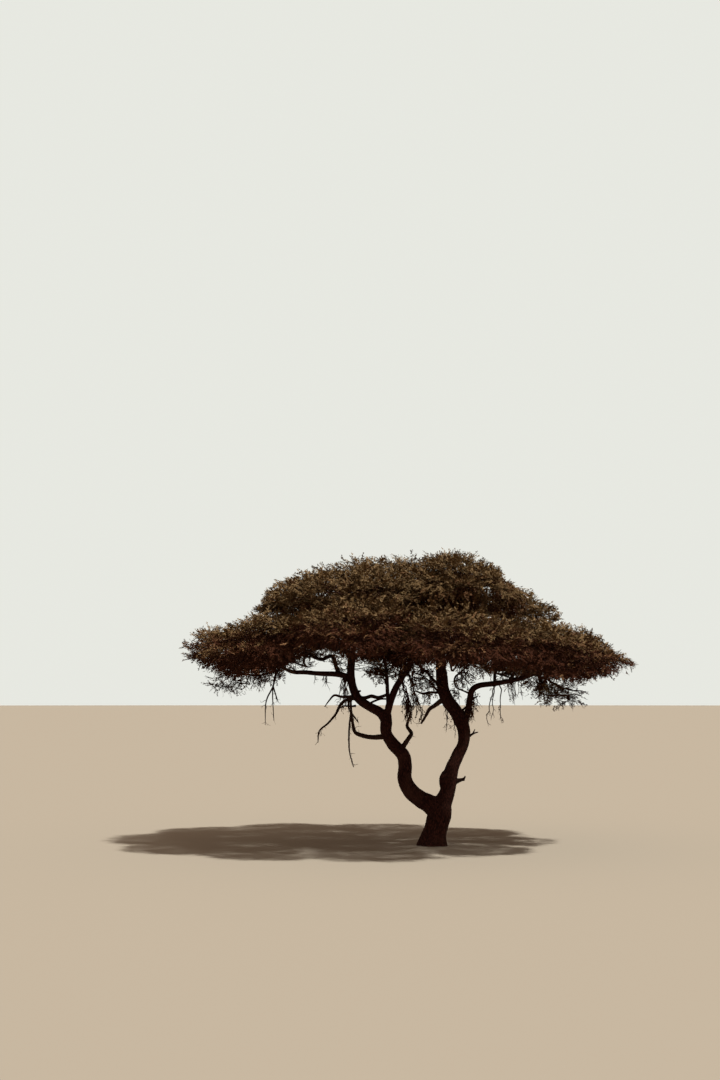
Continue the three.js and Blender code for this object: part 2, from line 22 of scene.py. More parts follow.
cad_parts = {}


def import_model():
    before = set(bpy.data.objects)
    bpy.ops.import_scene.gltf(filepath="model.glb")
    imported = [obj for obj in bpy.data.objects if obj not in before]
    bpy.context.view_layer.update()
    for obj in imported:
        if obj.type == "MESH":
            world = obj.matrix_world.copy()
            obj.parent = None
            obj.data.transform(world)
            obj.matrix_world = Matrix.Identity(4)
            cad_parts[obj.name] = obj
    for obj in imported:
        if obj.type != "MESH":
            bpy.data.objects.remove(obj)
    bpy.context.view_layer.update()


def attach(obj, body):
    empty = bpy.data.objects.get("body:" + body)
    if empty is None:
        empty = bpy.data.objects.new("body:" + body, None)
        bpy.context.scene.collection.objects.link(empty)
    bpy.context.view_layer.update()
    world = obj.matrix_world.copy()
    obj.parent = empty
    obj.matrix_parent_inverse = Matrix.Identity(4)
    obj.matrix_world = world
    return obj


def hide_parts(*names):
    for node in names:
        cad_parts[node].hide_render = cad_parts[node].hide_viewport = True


log = logging.getLogger("acacia")

MM = 0.001
UP = np.array([0.0, 0.0, 1.0])

Station = tuple[float, float, float, float]
Place = tuple[float, float, float]
Span = tuple[float, float]
Array = np.ndarray
BMesh = bmesh.types.BMesh
Random = np.random.Generator
Piece = bpy.types.Object
Material = bpy.types.Material
Materials = Sequence[Material]


# The crown


@dataclass(frozen=True)
class CrownShape:
    """The dome over an ellipse that the crown fills, in millimetres.

    Its ends sag and its right side leans lower.
    """

    middle_x: float = -470
    half_width: float = 4670
    half_depth: float = 4300
    top: float = 5850
    drop: float = 1950
    power: float = 2.2
    lean_right: float = 0.12
    end_sag: float = 200


@dataclass(frozen=True)
class Ring:
    """Masses of foliage evenly round the crown's middle, with their reach outwards, across and upwards.

    The valleys between them are filled from a share of their height up.
    """

    name: str
    count: int
    share: float
    turn: float
    reach: Place
    tilt: float
    foot_back: float
    filled_from: float


@dataclass(frozen=True)
class HangingPlan:
    """A small leafy mass below the crown: its middle, its reach and its foot on a limb, in millimetres."""

    middle: Place
    reach: Place
    foot: Place
    twigs: int
    dense: bool = False


CROWN = CrownShape()
RINGS = (
    Ring("outer", 10, 0.76, 0, (1150, 1280, 600), 13, 0.55, -1.3),
    Ring("inner", 5, 0.42, 18, (1380, 1400, 700), 8, 0.55, -1.35),
    Ring("top", 1, 0, 0, (1330, 1330, 650), 0, 0, -1.35),
)
LIFTS = {
    "outer_1": 220, "outer_2": 100, "outer_4": 140, "outer_6": 70, "outer_8": 120, "outer_10": 80,
    "inner_3": 130, "inner_4": 130, "inner_5": 370, "top_1": 30,
}
SIZES = {
    "outer_1": 0.92, "outer_2": 0.9, "outer_4": 0.9, "outer_6": 1.04, "outer_8": 0.9, "outer_10": 0.9,
    "inner_1": 0.94, "inner_5": 0.82,
}
# How far the leaves reach as a share of a mass's reach, where the crown's edge asks for more.
SWELLS = {
    "outer_1": 1.06, "outer_2": 1.1, "outer_6": 1.08, "outer_10": 1.1,
    "inner_1": 1.05, "inner_2": 1.04, "inner_3": 1.17, "inner_4": 1.14, "inner_5": 1.12, "top_1": 1.16,
    "lower_centre": 1.2,
}
HANGING = {
    "lower_centre": HangingPlan((-620, -680, 3930), (640, 560, 400), (-560, -420, 3720), 9, dense=True),
    "hanging_left": HangingPlan((-4230, -60, 3270), (520, 430, 330), (-3860, -50, 3440), 5),
    "hanging_middle": HangingPlan((-1170, -200, 3500), (330, 310, 250), (-1050, -212, 3500), 5),
    "hanging_right": HangingPlan((2720, -110, 3060), (470, 430, 390), (2480, -90, 3235), 5),
}
CELL_HEIGHT_SCALE = 1.5
CELL_WEIGHT = 0.6

# The crown's upper edge against the sky, x and z in millimetres in the trunk's plane, from left to right.
SKYLINE = (
    (-5200, 4000), (-5130, 4180), (-5060, 4290), (-4680, 4450), (-4340, 4450), (-4035, 4560), (-3660, 4790),
    (-3490, 5070), (-3320, 5310), (-2980, 5450), (-2630, 5600), (-2220, 5800), (-1680, 5890), (-590, 5930),
    (-110, 5940), (30, 6000), (500, 6030), (950, 5950), (1085, 5800), (1340, 5700), (1440, 5570),
    (1470, 5410), (1560, 5320), (1870, 5180), (2210, 5040), (2550, 4830), (2760, 4560), (3170, 4410),
    (3560, 4070), (3960, 3780), (4200, 3630),
)
# The crown's lower edge, in the same way. Single sprigs and the hanging masses reach below it.
UNDERSIDE = (
    (-5130, 3860), (-4700, 3520), (-4100, 3290), (-3500, 3380), (-3050, 3540), (-2800, 3740), (-2550, 3880),
    (-1950, 3880), (-1720, 3760), (-1550, 3570), (-1000, 3490), (-700, 3420), (-450, 3400), (-250, 3550),
    (0, 3590), (950, 3590), (1150, 3480), (1500, 3440), (1900, 3380), (2300, 3320), (2900, 3260),
    (3400, 3340), (4200, 3570),
)
# The camera's place, in metres.
EYE_DISTANCE, EYE_HEIGHT = 30.72, 2.95


# The limbs


class Group(Enum):
    """How a limb's bark is made."""

    HEAVY = "heavy"
    SLIGHT = "slight"
    DEAD = "dead"


@dataclass(frozen=True)
class LimbPlan:
    """A limb as a route of stations from root to tip, x, y, z and the radius there, in millimetres."""

    group: Group
    route: tuple[Station, ...]
    mass: str | None = None
    nodes: tuple[str, ...] = ()
    twigs: tuple[tuple[Station, ...], ...] = ()
    slimness: float = 1.0
    drawn_only: bool = False


LIMBS = {
    "trunk": LimbPlan(Group.HEAVY, (
        (0, 0, -60, 234), (18, 0, 200, 232), (84, 0, 420, 226), (127, 0, 600, 241), (141, 0, 760, 244),
        (150, 0, 880, 178),
    )),
    "right_stem": LimbPlan(Group.HEAVY, (
        (150, 0, 650, 196), (205, 5, 860, 172), (292, 10, 1050, 154), (328, 15, 1290, 160),
        (390, 20, 1540, 136), (500, 30, 1780, 124), (612, 40, 2010, 116), (642, 50, 2200, 124),
        (618, 60, 2400, 134), (600, 65, 2570, 118),
    ), nodes=("right_stem_lower", "right_stem_upper")),
    "left_stem": LimbPlan(Group.HEAVY, (
        (110, 0, 660, 178), (-60, 0, 815, 184), (-268, -10, 926, 172), (-468, -25, 1112, 158),
        (-572, -40, 1340, 146), (-556, -50, 1580, 138), (-604, -60, 1815, 136), (-810, -80, 2030, 124),
        (-932, -100, 2240, 112), (-938, -110, 2440, 122), (-930, -115, 2620, 104),
    ), nodes=("left_stem_lower", "left_stem_upper")),
    "right_bough": LimbPlan(Group.HEAVY, (
        (605, 62, 2440, 130), (480, 60, 2670, 134), (325, 50, 2880, 134), (222, 40, 3120, 126),
        (190, 10, 3400, 120), (170, -110, 3720, 92),
    ), mass="inner_5"),
    "left_bough": LimbPlan(Group.HEAVY, (
        (-925, -112, 2450, 96), (-1060, -110, 2655, 98), (-1290, -90, 2782, 92), (-1505, -60, 2935, 88),
        (-1618, -20, 3160, 86), (-1660, 20, 3420, 82), (-1652, 70, 3700, 79),
    ), mass="inner_3", nodes=("left_bough_lower", "left_bough_upper")),
    "left_inner_bough": LimbPlan(Group.HEAVY, (
        (-935, -118, 2500, 72), (-868, -130, 2820, 76), (-756, -110, 3120, 72), (-610, -80, 3380, 62),
        (-440, -50, 3680, 50),
    ), mass="top_1"),
    "left_upright": LimbPlan(Group.SLIGHT, (
        (-890, -125, 2740, 42), (-908, -170, 3050, 40), (-922, -230, 3380, 38), (-975, -420, 3820, 34),
    ), mass="inner_4"),
    "right_long_bough": LimbPlan(Group.HEAVY, (
        (632, 66, 2420, 74), (722, 60, 2680, 70), (762, 40, 2920, 65), (812, 20, 3115, 63),
        (960, 0, 3205, 59), (1240, -20, 3240, 55), (1560, -20, 3290, 51), (1920, -10, 3385, 47),
    ), mass="outer_1", nodes=("right_riser", "right_long_bough")),
    "left_long_bough": LimbPlan(Group.HEAVY, (
        (-1650, 0, 3290, 66), (-1800, -10, 3405, 62), (-2010, -20, 3438, 56), (-2300, -20, 3446, 51),
        (-2600, -10, 3474, 47), (-2890, 0, 3492, 42),
    ), mass="outer_6"),
    "left_curled_bough": LimbPlan(Group.SLIGHT, (
        (-1830, -5, 3415, 42), (-1930, 15, 3500, 42), (-1985, 30, 3650, 42), (-2035, 45, 3785, 42),
        (-2115, 60, 3800, 40), (-2250, 80, 3740, 38), (-2370, 110, 3765, 35), (-2480, 170, 3825, 32),
        (-2620, 300, 3855, 30),
    ), mass="outer_5"),
    "right_droop": LimbPlan(Group.SLIGHT, (
        (2050, -10, 3430, 28), (2220, -60, 3370, 26), (2370, -80, 3300, 25),
    ), mass="hanging_right", slimness=0.6),
    "centre_droop": LimbPlan(Group.SLIGHT, (
        (-690, -95, 3250, 30), (-668, -180, 3420, 28), (-620, -300, 3600, 27),
    ), mass="lower_centre", slimness=0.6),
    "left_droop": LimbPlan(Group.SLIGHT, (
        (-3100, -5, 3560, 26), (-3330, -50, 3450, 25), (-3600, -50, 3405, 24),
    ), mass="hanging_left", slimness=0.6),
    "middle_droop": LimbPlan(Group.SLIGHT, (
        (-946, -210, 3250, 24), (-985, -215, 3370, 22), (-1020, -215, 3450, 21),
    ), mass="hanging_middle", slimness=0.6),
    "cross_bough": LimbPlan(Group.SLIGHT, (
        (-1500, -60, 2935, 38), (-1353, -85, 2953, 32), (-1242, -105, 2986, 32), (-1112, -130, 2960, 28),
        (-1018, -150, 2980, 27), (-925, -168, 3015, 27),
    ), slimness=1.25),
    "cross_twig": LimbPlan(Group.SLIGHT, (
        (-1370, -85, 2760, 26), (-1270, -100, 2840, 24), (-1170, -120, 2890, 22), (-1050, -140, 2930, 20),
        (-915, -160, 2930, 18),
    ), drawn_only=True),
    "left_fan_bough": LimbPlan(Group.SLIGHT, (
        (205, 20, 3080, 44), (130, -10, 3199, 32), (44, -50, 3301, 27), (-58, -90, 3404, 24),
        (-160, -130, 3523, 20), (-330, -190, 3640, 16), (-480, -230, 3740, 12),
    ), drawn_only=True),
    "left_fan_twig": LimbPlan(Group.SLIGHT, (
        (190, -20, 3030, 26), (80, -55, 3120, 20), (-10, -80, 3230, 17), (-109, -115, 3334, 15),
        (-195, -135, 3404, 14), (-297, -155, 3440, 13), (-400, -185, 3480, 12), (-520, -220, 3600, 10),
    ), drawn_only=True),
    "right_fan_bough": LimbPlan(Group.SLIGHT, (
        (785, 34, 3025, 24), (670, 36, 3080, 17), (590, 20, 3113, 16), (487, 0, 3164, 16),
        (445, -20, 3283, 16), (471, -40, 3386, 16), (573, -70, 3471, 17), (727, -110, 3600, 18),
        (860, -150, 3740, 14),
    ), twigs=(
        ((575, -70, 3470, 10), (660, -50, 3345, 9), (790, 0, 3200, 8)),
    ), drawn_only=True),
    "right_side_twig": LimbPlan(Group.SLIGHT, (
        (1240, -35, 3455, 17), (1330, -40, 3440, 17), (1500, -40, 3388, 18), (1640, -30, 3345, 20),
        (1760, -18, 3340, 24),
    ), drawn_only=True),
    "right_cross_twig": LimbPlan(Group.SLIGHT, (
        (240, 40, 3060, 30), (-40, 10, 3062, 26), (-200, 0, 3042, 23), (-350, -10, 3100, 15),
    )),
    "right_inner_snag": LimbPlan(Group.DEAD, (
        (290, 45, 2980, 46), (50, 20, 2800, 35), (-60, 10, 2725, 29), (-150, 0, 2565, 23),
        (-235, -10, 2430, 16),
    ), slimness=1.25),
    "middle_snag": LimbPlan(Group.DEAD, (
        (-650, -65, 1900, 44), (-505, -60, 2110, 35), (-430, -60, 2240, 30), (-512, -60, 2370, 25),
        (-490, -60, 2500, 20), (-425, -60, 2660, 11),
    ), slimness=1.3),
    "left_beard_twig": LimbPlan(Group.DEAD, (
        (-640, -70, 3360, 16), (-600, -80, 3240, 15), (-575, -85, 3080, 14), (-487, -90, 2920, 13),
        (-480, -85, 2780, 12), (-455, -75, 2620, 8),
    ), drawn_only=True),
    "right_beard_twig": LimbPlan(Group.DEAD, (
        (-395, -185, 3475, 13), (-402, -110, 3300, 13), (-385, -25, 3130, 13), (-331, -20, 2976, 12),
        (-263, -15, 2823, 11), (-229, -10, 2635, 9), (-275, -10, 2470, 6),
    ), drawn_only=True),
    "low_snag": LimbPlan(Group.DEAD, (
        (-900, -95, 2180, 54), (-1230, -115, 2160, 42), (-1440, -125, 2200, 38), (-1572, -130, 2268, 33),
        (-1615, -140, 2440, 27), (-1646, -150, 2680, 22), (-1655, -140, 2900, 18),
    ), twigs=(
        ((-1648, -150, 2660, 19), (-1678, -150, 2430, 17), (-1692, -145, 2180, 15), (-1678, -145, 1860, 12),
         (-1597, -150, 1560, 8)),
        ((-1642, -148, 2640, 18), (-1575, -150, 2560, 14), (-1500, -155, 2450, 8)),
        ((-1560, -60, 2790, 18), (-1680, -120, 2780, 16), (-1800, -135, 2790, 14), (-1880, -140, 2740, 8)),
    ), slimness=1.15),
    "high_snag": LimbPlan(Group.DEAD, (
        (-1560, -45, 2960, 42), (-1730, -100, 2915, 32), (-1860, -120, 2825, 27), (-1965, -130, 2620, 22),
        (-2125, -140, 2435, 19), (-2290, -150, 2285, 15), (-2322, -150, 2050, 8),
    ), twigs=(
        ((-1640, -85, 2975, 28), (-1850, -110, 2975, 24), (-1990, -120, 3005, 20), (-2095, -125, 2900, 14),
         (-2190, -130, 2770, 7)),
        ((-1700, -95, 2925, 22), (-1700, -110, 2780, 17), (-1690, -120, 2690, 9)),
    ), slimness=1.12),
    "left_dangling_twigs": LimbPlan(Group.DEAD, (
        (-3130, -5, 3560, 22), (-3205, -35, 3400, 18), (-3256, -50, 3174, 13), (-3390, -60, 2872, 10),
        (-3405, -60, 2404, 5),
    ), twigs=(
        ((-3250, -48, 3190, 12), (-3190, -50, 3000, 10), (-3144, -50, 2870, 6)),
        ((-3255, -50, 3180, 11), (-3256, -55, 2930, 9), (-3228, -60, 2490, 5)),
    ), slimness=1.3),
}

# A lump in the right stem's bend, and short spurs that grow from the limbs.
BURL_MIDDLE, BURL_REACH = (262, 0, 1275), (140, 135, 230)
SPURS = (
    ((430, 20, 1270, 60), (545, 5, 1300, 42), (640, -5, 1316, 27)),
    ((590, 0, 1305, 26), (640, -6, 1345, 20), (655, -8, 1385, 10)),
    ((700, 50, 2120, 34), (760, 45, 2190, 24), (830, 40, 2235, 20), (925, 35, 2262, 9)),
    ((815, 40, 2225, 17), (840, 40, 2280, 13), (860, 38, 2320, 7)),
    ((765, 40, 2930, 30), (850, 35, 2950, 22), (925, 30, 2990, 10)),
    ((560, 62, 2660, 34), (640, 60, 2730, 24), (720, 58, 2810, 20)),
    ((-1560, -62, 3070, 42), (-1500, -66, 3082, 26), (-1452, -70, 3096, 15)),
)


@dataclass(frozen=True)
class Feeder:
    """A bough that no view shows in full: it rises from a share of another limb's length to a mass's foot."""

    mass: str
    on: str
    share: float

    @property
    def name(self) -> str:
        """The bough's name, which is its CAD node's too."""
        return f"bough_to_{self.mass}"


FEEDERS = (
    Feeder("outer_2", "right_long_bough", 0.5),
    Feeder("outer_10", "right_long_bough", 0.62),
    Feeder("outer_3", "right_bough", 0.66),
    Feeder("outer_9", "right_bough", 0.58),
    Feeder("outer_4", "left_inner_bough", 0.5),
    Feeder("outer_8", "left_inner_bough", 0.44),
    Feeder("outer_7", "left_bough", 0.66),
    Feeder("inner_1", "right_bough", 0.74),
    Feeder("inner_2", "right_bough", 0.8),
)
FEEDER_BASE_SHARE, FEEDER_BASE_MOST, FEEDER_TIP = 0.62, 62, 28
FEEDER_RISE, FEEDER_SWAY = 0.16, 0.05
# Shares of the way, each with how much of the whole rise the bough has there.
FEEDER_ARCH = ((0.2, 0.7), (0.45, 1.0), (0.72, 0.6))
FEEDER_SEED, FEEDER_SEED_STEP = 101, 37


# Small helpers


def unit(vectors: Array) -> Array:
    """Vectors along the last axis, made one metre long."""
    return vectors / np.maximum(np.linalg.norm(vectors, axis=-1, keepdims=True), 1e-9)


def smooth_step(low: float, high: float, values: Array) -> Array:
    """Values eased from 0 at low to 1 at high."""
    share = np.clip((values - low) / (high - low), 0, 1)
    return share * share * (3 - 2 * share)


class SeededNumbers:
    """The source's run of numbers from 0 to 1, the same each time for one seed."""

    def __init__(self, seed: int) -> None:
        """Starts the run at a seed."""
        self.state = seed

    def next(self) -> float:
        """The next number."""
        self.state = self.state * 16807 % 2147483647
        return self.state / 2147483647


def even_directions(count: int) -> Array:
    """Directions spread evenly over a sphere in golden-angle steps, the middle one along the first axis.

    Args:
        count: how many directions.

    Returns:
        An array of count unit vectors.
    """
    i = np.arange(count)
    height = 1 - (2 * i + 1) / count
    turn = (i - (count - 1) / 2) * math.pi * (3 - math.sqrt(5))
    ring = np.sqrt(1 - height * height)
    return np.stack([ring * np.cos(turn), ring * np.sin(turn), height], axis=1)


class LimbCurve:
    """A smooth tapering limb through the stations of a route, bent as the part's source bends it."""

    SAMPLES = 24

    def __init__(self, route: Sequence[Sequence[float]]) -> None:
        """Lays the curve.

        Args:
            route: stations from root to tip, x, y, z and radius, in metres.
        """
        stations = np.asarray(route, float)
        before = np.vstack([2 * stations[:1] - stations[1:2], stations[:-1]])
        after = np.vstack([stations[1:], 2 * stations[-1:] - stations[-2:-1]])
        slopes = 0.5 * (after - before)[:, :3]
        share = np.arange(self.SAMPLES)[:, None] / self.SAMPLES
        places, radii = [], []
        for i in range(len(stations) - 1):
            start, end = stations[i, :3], stations[i + 1, :3]
            bend = -3 * start + 3 * end - 2 * slopes[i] - slopes[i + 1]
            turn = 2 * start - 2 * end + slopes[i] + slopes[i + 1]
            places.append(start + slopes[i] * share + bend * share**2 + turn * share**3)
            radii.append(stations[i, 3] + (stations[i + 1, 3] - stations[i, 3]) * share[:, 0])
        self.places = np.vstack([*places, stations[-1:, :3]])
        self.radii = np.concatenate([*radii, stations[-1:, 3]])
        steps = np.linalg.norm(np.diff(self.places, axis=0), axis=1)
        self.lengths = np.concatenate([[0], np.cumsum(steps)])
        self.length = float(self.lengths[-1])

    def at(self, share: float | Array) -> Array:
        """The point or points at shares of the limb's length."""
        along = np.asarray(share) * self.length
        return np.stack([np.interp(along, self.lengths, self.places[:, k]) for k in range(3)], axis=-1)

    def radius_at(self, share: float | Array) -> Array:
        """The radius or radii at shares of the limb's length."""
        return np.interp(np.asarray(share) * self.length, self.lengths, self.radii)

    def direction_at(self, share: float) -> Array:
        """The direction in which the limb runs at a share of its length."""
        return unit(self.at(min(1.0, share + 0.004)) - self.at(max(0.0, share - 0.004)))

    def frames(self, count: int) -> tuple[Array, Array, Array]:
        """Directions along, across and across again at even shares, which turn as little as they can.

        Args:
            count: how many shares, both ends among them.

        Returns:
            Three arrays of count unit vectors.
        """
        along = np.array([self.direction_at(s) for s in np.linspace(0, 1, count)])
        first = np.cross(along[0], [0.0, 1.0, 0.0] if abs(along[0][1]) < 0.9 else [1.0, 0.0, 0.0])
        across = [unit(first)]
        for way in along[1:]:
            across.append(unit(across[-1] - way * (across[-1] @ way)))
        sides = np.array(across)
        return along, sides, np.cross(along, sides)


@dataclass
class Stations:
    """Points along limbs, with the limb's radius and directions there. They stand for limbs' surfaces."""

    GRAIN_SHIFT = 7.3
    BATCH = 4000

    centres: Array
    radii: Array
    along: Array
    across: Array
    other: Array
    lengths: Array

    @classmethod
    def of(cls, curves: Iterable[LimbCurve], step: float) -> Stations:
        """Stations on several limbs.

        Args:
            curves: the limbs.
            step: about how far apart the stations are, in metres.

        Returns:
            The stations of all the limbs together.
        """
        rows: list[list[Array]] = [[] for _ in range(6)]
        for number, curve in enumerate(curves):
            count = max(2, math.ceil(curve.length / step) + 1)
            shares = np.linspace(0, 1, count)
            values = (curve.at(shares), curve.radius_at(shares), *curve.frames(count))
            lengths = shares * curve.length + cls.GRAIN_SHIFT * number
            for row, value in zip(rows, (*values, lengths), strict=True):
                row.append(value)
        return cls(*(np.concatenate(row) for row in rows))

    def some(self, kept: Array) -> Stations:
        """Those of the stations that are kept."""
        return Stations(*(getattr(self, part.name)[kept] for part in fields(self)))

    def nearest(self, points: Array) -> Array:
        """Finds the station whose limb's surface is nearest to each point.

        Args:
            points: the points.

        Returns:
            The number of each point's station.
        """
        best = np.empty(len(points), int)
        for start in range(0, len(points), self.BATCH):
            part = points[start : start + self.BATCH]
            squares = (part**2).sum(1)[:, None] + (self.centres**2).sum(1) - 2 * part @ self.centres.T
            best[start : start + self.BATCH] = (np.sqrt(np.maximum(squares, 0)) - self.radii).argmin(1)
        return best

    def clearance(self, points: Array) -> Array:
        """How far each point is from the nearest limb's surface, in metres."""
        near = self.nearest(points)
        return np.linalg.norm(points - self.centres[near], axis=1) - self.radii[near]


def in_scene(name: str, data: bpy.types.ID) -> Piece:
    """Puts an object into the scene, at the origin.

    Args:
        name: its name.
        data: its mesh, lamp or camera.

    Returns:
        The object.
    """
    made = bpy.data.objects.new(name, data)
    bpy.context.scene.collection.objects.link(made)
    return made


def mesh_object(name: str, corners: Array, faces: Array, slots: Array, materials: Materials) -> Piece:
    """A piece of many small things, as one mesh of triangles from arrays.

    Args:
        name: the piece's name.
        corners: an array of points, in metres.
        faces: an array of triangles, as numbers of points.
        slots: the material of each triangle.
        materials: the finishes, in the order of slots.

    Returns:
        The object, in the scene at the origin.
    """
    mesh = bpy.data.meshes.new(name)
    mesh.vertices.add(len(corners))
    mesh.vertices.foreach_set("co", corners.astype(np.float32).ravel())
    mesh.loops.add(faces.size)
    mesh.loops.foreach_set("vertex_index", faces.astype(np.int32).ravel())
    mesh.polygons.add(len(faces))
    mesh.polygons.foreach_set("loop_start", np.arange(0, faces.size, 3, dtype=np.int32))
    for material in materials:
        mesh.materials.append(material)
    mesh.polygons.foreach_set("material_index", slots.astype(np.int32))
    mesh.update(calc_edges=True)
    return in_scene(name, mesh)


def tubes(points: Array, radii: Array, sides: int) -> tuple[Array, Array]:
    """Many thin tapering twigs at once, each closed at its root and drawn to a point at its tip.

    Args:
        points: for each twig, its points from root to tip.
        radii: for each twig, its radius at all points but the last.
        sides: how many sides a twig has.

    Returns:
        The corners of all twigs and their triangles.
    """
    count, rings = points.shape[0], points.shape[1] - 1
    along = unit(np.gradient(points, axis=1))
    whole = unit(points[:, -1] - points[:, 0])
    level = np.where(np.abs(whole[:, 2:]) < 0.9, UP, np.array([1.0, 0.0, 0.0]))
    across = unit(np.cross(along, level[:, None]))
    other = np.cross(along, across)
    angles = 2 * math.pi * np.arange(sides) / sides
    spokes = across[:, :-1, None] * np.cos(angles)[:, None] + other[:, :-1, None] * np.sin(angles)[:, None]
    walls = points[:, :-1, None] + spokes * radii[:, :, None, None]
    corners = np.concatenate([walls.reshape(count, rings * sides, 3), points[:, -1:]], axis=1)
    faces = []
    for side in range(sides):
        after = (side + 1) % sides
        for ring in range(rings - 1):
            low, high = ring * sides, (ring + 1) * sides
            faces += [(low + side, low + after, high + after), (low + side, high + after, high + side)]
        last = (rings - 1) * sides
        faces.append((last + side, last + after, rings * sides))
    faces += [(0, side + 1, side) for side in range(1, sides - 1)]
    starts = np.arange(count) * corners.shape[1]
    return corners.reshape(-1, 3), (np.array(faces)[None] + starts[:, None, None]).reshape(-1, 3)


@dataclass
class Pile:
    """Corners, triangles and their materials, gathered for one piece."""

    corners: list[Array] = field(default_factory=list)
    faces: list[Array] = field(default_factory=list)
    slots: list[Array] = field(default_factory=list)
    count: int = 0

    def add(self, corners: Array, faces: Array, slots: Array | int = 0) -> None:
        """Adds a mesh.

        Args:
            corners: its points.
            faces: its triangles.
            slots: the material of each triangle, or of all.
        """
        self.corners.append(corners)
        self.faces.append(faces + self.count)
        self.slots.append(np.broadcast_to(slots, len(faces)))
        self.count += len(corners)

    def add_tapers(
        self, paths: Array, radii: Span, sides: int, slot: int = 0, thickness: float | Array = 1
    ) -> None:
        """Adds thin tapering twigs.

        Args:
            paths: the points of each twig, from root to tip.
            radii: the radius at the root, and at the last point before the tip.
            sides: how many sides a twig has.
            slot: the material.
            thickness: how many times these radii they have, all of them or each.
        """
        taper = np.linspace(*radii, paths.shape[1] - 1)[None].repeat(len(paths), 0)
        self.add(*tubes(paths, thickness * taper, sides), slot)

    def piece(self, name: str, materials: Materials) -> Piece:
        """Makes the piece.

        Args:
            name: its name.
            materials: its finishes.

        Returns:
            The object.
        """
        joined = [np.concatenate(part) for part in (self.corners, self.faces, self.slots)]
        return mesh_object(name, *joined, materials)


# Finishes


class MaterialNodes:
    """A new material and its nodes, with short ways to add a node and to fill its sockets."""

    def __init__(self, name: str) -> None:
        """Makes the material.

        Args:
            name: its name.
        """
        self.material = bpy.data.materials.new(name)
        self.material.use_nodes = True
        self.tree = self.material.node_tree
        self.shader = self.tree.nodes["Principled BSDF"]

    def fill(self, node: bpy.types.Node, sockets: dict[str | int, object]) -> None:
        """Fills a node's inputs.

        Args:
            node: the node.
            sockets: a value for each input, or the output that is joined to it.
        """
        for name, value in sockets.items():
            if isinstance(value, bpy.types.NodeSocket):
                self.tree.links.new(value, node.inputs[name])
            else:
                node.inputs[name].default_value = value

    def add(self, kind: str, sockets: dict[str | int, object], **settings: str) -> bpy.types.Node:
        """Adds a node.

        Args:
            kind: its kind, as the shader nodes are called.
            sockets: what its inputs are filled with.
            settings: its own settings.

        Returns:
            The node.
        """
        node = self.tree.nodes.new(f"ShaderNode{kind}")
        for name, value in settings.items():
            setattr(node, name, value)
        self.fill(node, sockets)
        return node


@dataclass(frozen=True)
class BarkFinish:
    """Furrowed bark: dark in its cracks, paler and rougher on its plates, with grain along the limb.

    The grain is how many plates there are to a metre, and the bump how high they stand, in metres.
    """

    name: str
    crack: Place
    plate: Place
    lichen: Place
    grain: float
    bump: float
    crack_width: float = 0.22
    patch_size: float = 3.1
    patch_strength: float = 0.55
    speckle: float = 0.55
    gloss: float = 0.12

    def material(self) -> Material:
        """Builds the node tree.

        Returns:
            The material, which reads the piece's own relief and grain attributes.
        """
        made = MaterialNodes(self.name)
        relief = made.add("Attribute", {}, attribute_name="relief").outputs["Fac"]
        grain = made.add("Attribute", {}, attribute_name="grain").outputs["Vector"]
        spot = made.add("TexCoord", {}).outputs["Object"]

        cells = made.add("TexVoronoi", {"Scale": self.grain, "Vector": grain}, feature="DISTANCE_TO_EDGE")
        edges = made.add("MapRange", {"From Max": self.crack_width, "Value": cells.outputs["Distance"]})
        plates = edges.outputs["Result"]
        strands = made.add("TexNoise", {"Scale": self.grain * 4, "Detail": 6, "Vector": grain})
        fibres = strands.outputs["Fac"]
        height = made.add("Math", {0: plates, 1: relief}, operation="MULTIPLY").outputs["Value"]

        depth = made.add("ValToRGB", {"Fac": height})
        depth.color_ramp.elements[0].color = (*self.crack, 1)
        depth.color_ramp.elements[1].color = (*self.plate, 1)
        depth.color_ramp.elements[1].position = 0.85
        patches = made.add("TexNoise", {"Scale": self.patch_size, "Detail": 5, "Vector": spot}).outputs["Fac"]
        limits = {"From Min": 0.5, "From Max": 0.72, "To Max": self.patch_strength}
        patched = made.add("MapRange", limits | {"Value": patches}).outputs["Result"]
        colours = {"Factor": patched, "A": depth.outputs["Color"], "B": (*self.lichen, 1)}
        weathered = made.add("Mix", colours, data_type="RGBA").outputs["Result"]
        colours = {"Factor": self.speckle, "A": weathered, "B": fibres}
        speckled = made.add("Mix", colours, data_type="RGBA", blend_type="MULTIPLY")

        dull = made.add("MapRange", {"To Min": 0.96, "To Max": 0.78, "Value": height})
        coarse = made.add("Bump", {"Strength": 0.8, "Distance": self.bump, "Height": plates})
        fine = {"Strength": 0.6, "Distance": self.bump * 0.4, "Height": fibres}
        bumps = made.add("Bump", fine | {"Normal": coarse.outputs["Normal"]})
        surface = {"Base Color": speckled.outputs["Result"], "Roughness": dull.outputs["Result"]}
        surface |= {"Normal": bumps.outputs["Normal"], "Specular IOR Level": self.gloss}
        made.fill(made.shader, surface)
        return made.material


@dataclass(frozen=True)
class PlainFinish:
    """A plain colour for things too small to hold a pattern. The colours dealt out tell them apart."""

    name: str
    colour: Place
    roughness: float
    gloss: float = 0.08

    def material(self) -> Material:
        """Builds the material.

        Returns:
            The material, all of whose numbers are on the shader's own sockets.
        """
        made = MaterialNodes(self.name)
        surface = {"Base Color": (*self.colour, 1), "Roughness": self.roughness}
        made.fill(made.shader, surface | {"Specular IOR Level": self.gloss})
        return made.material


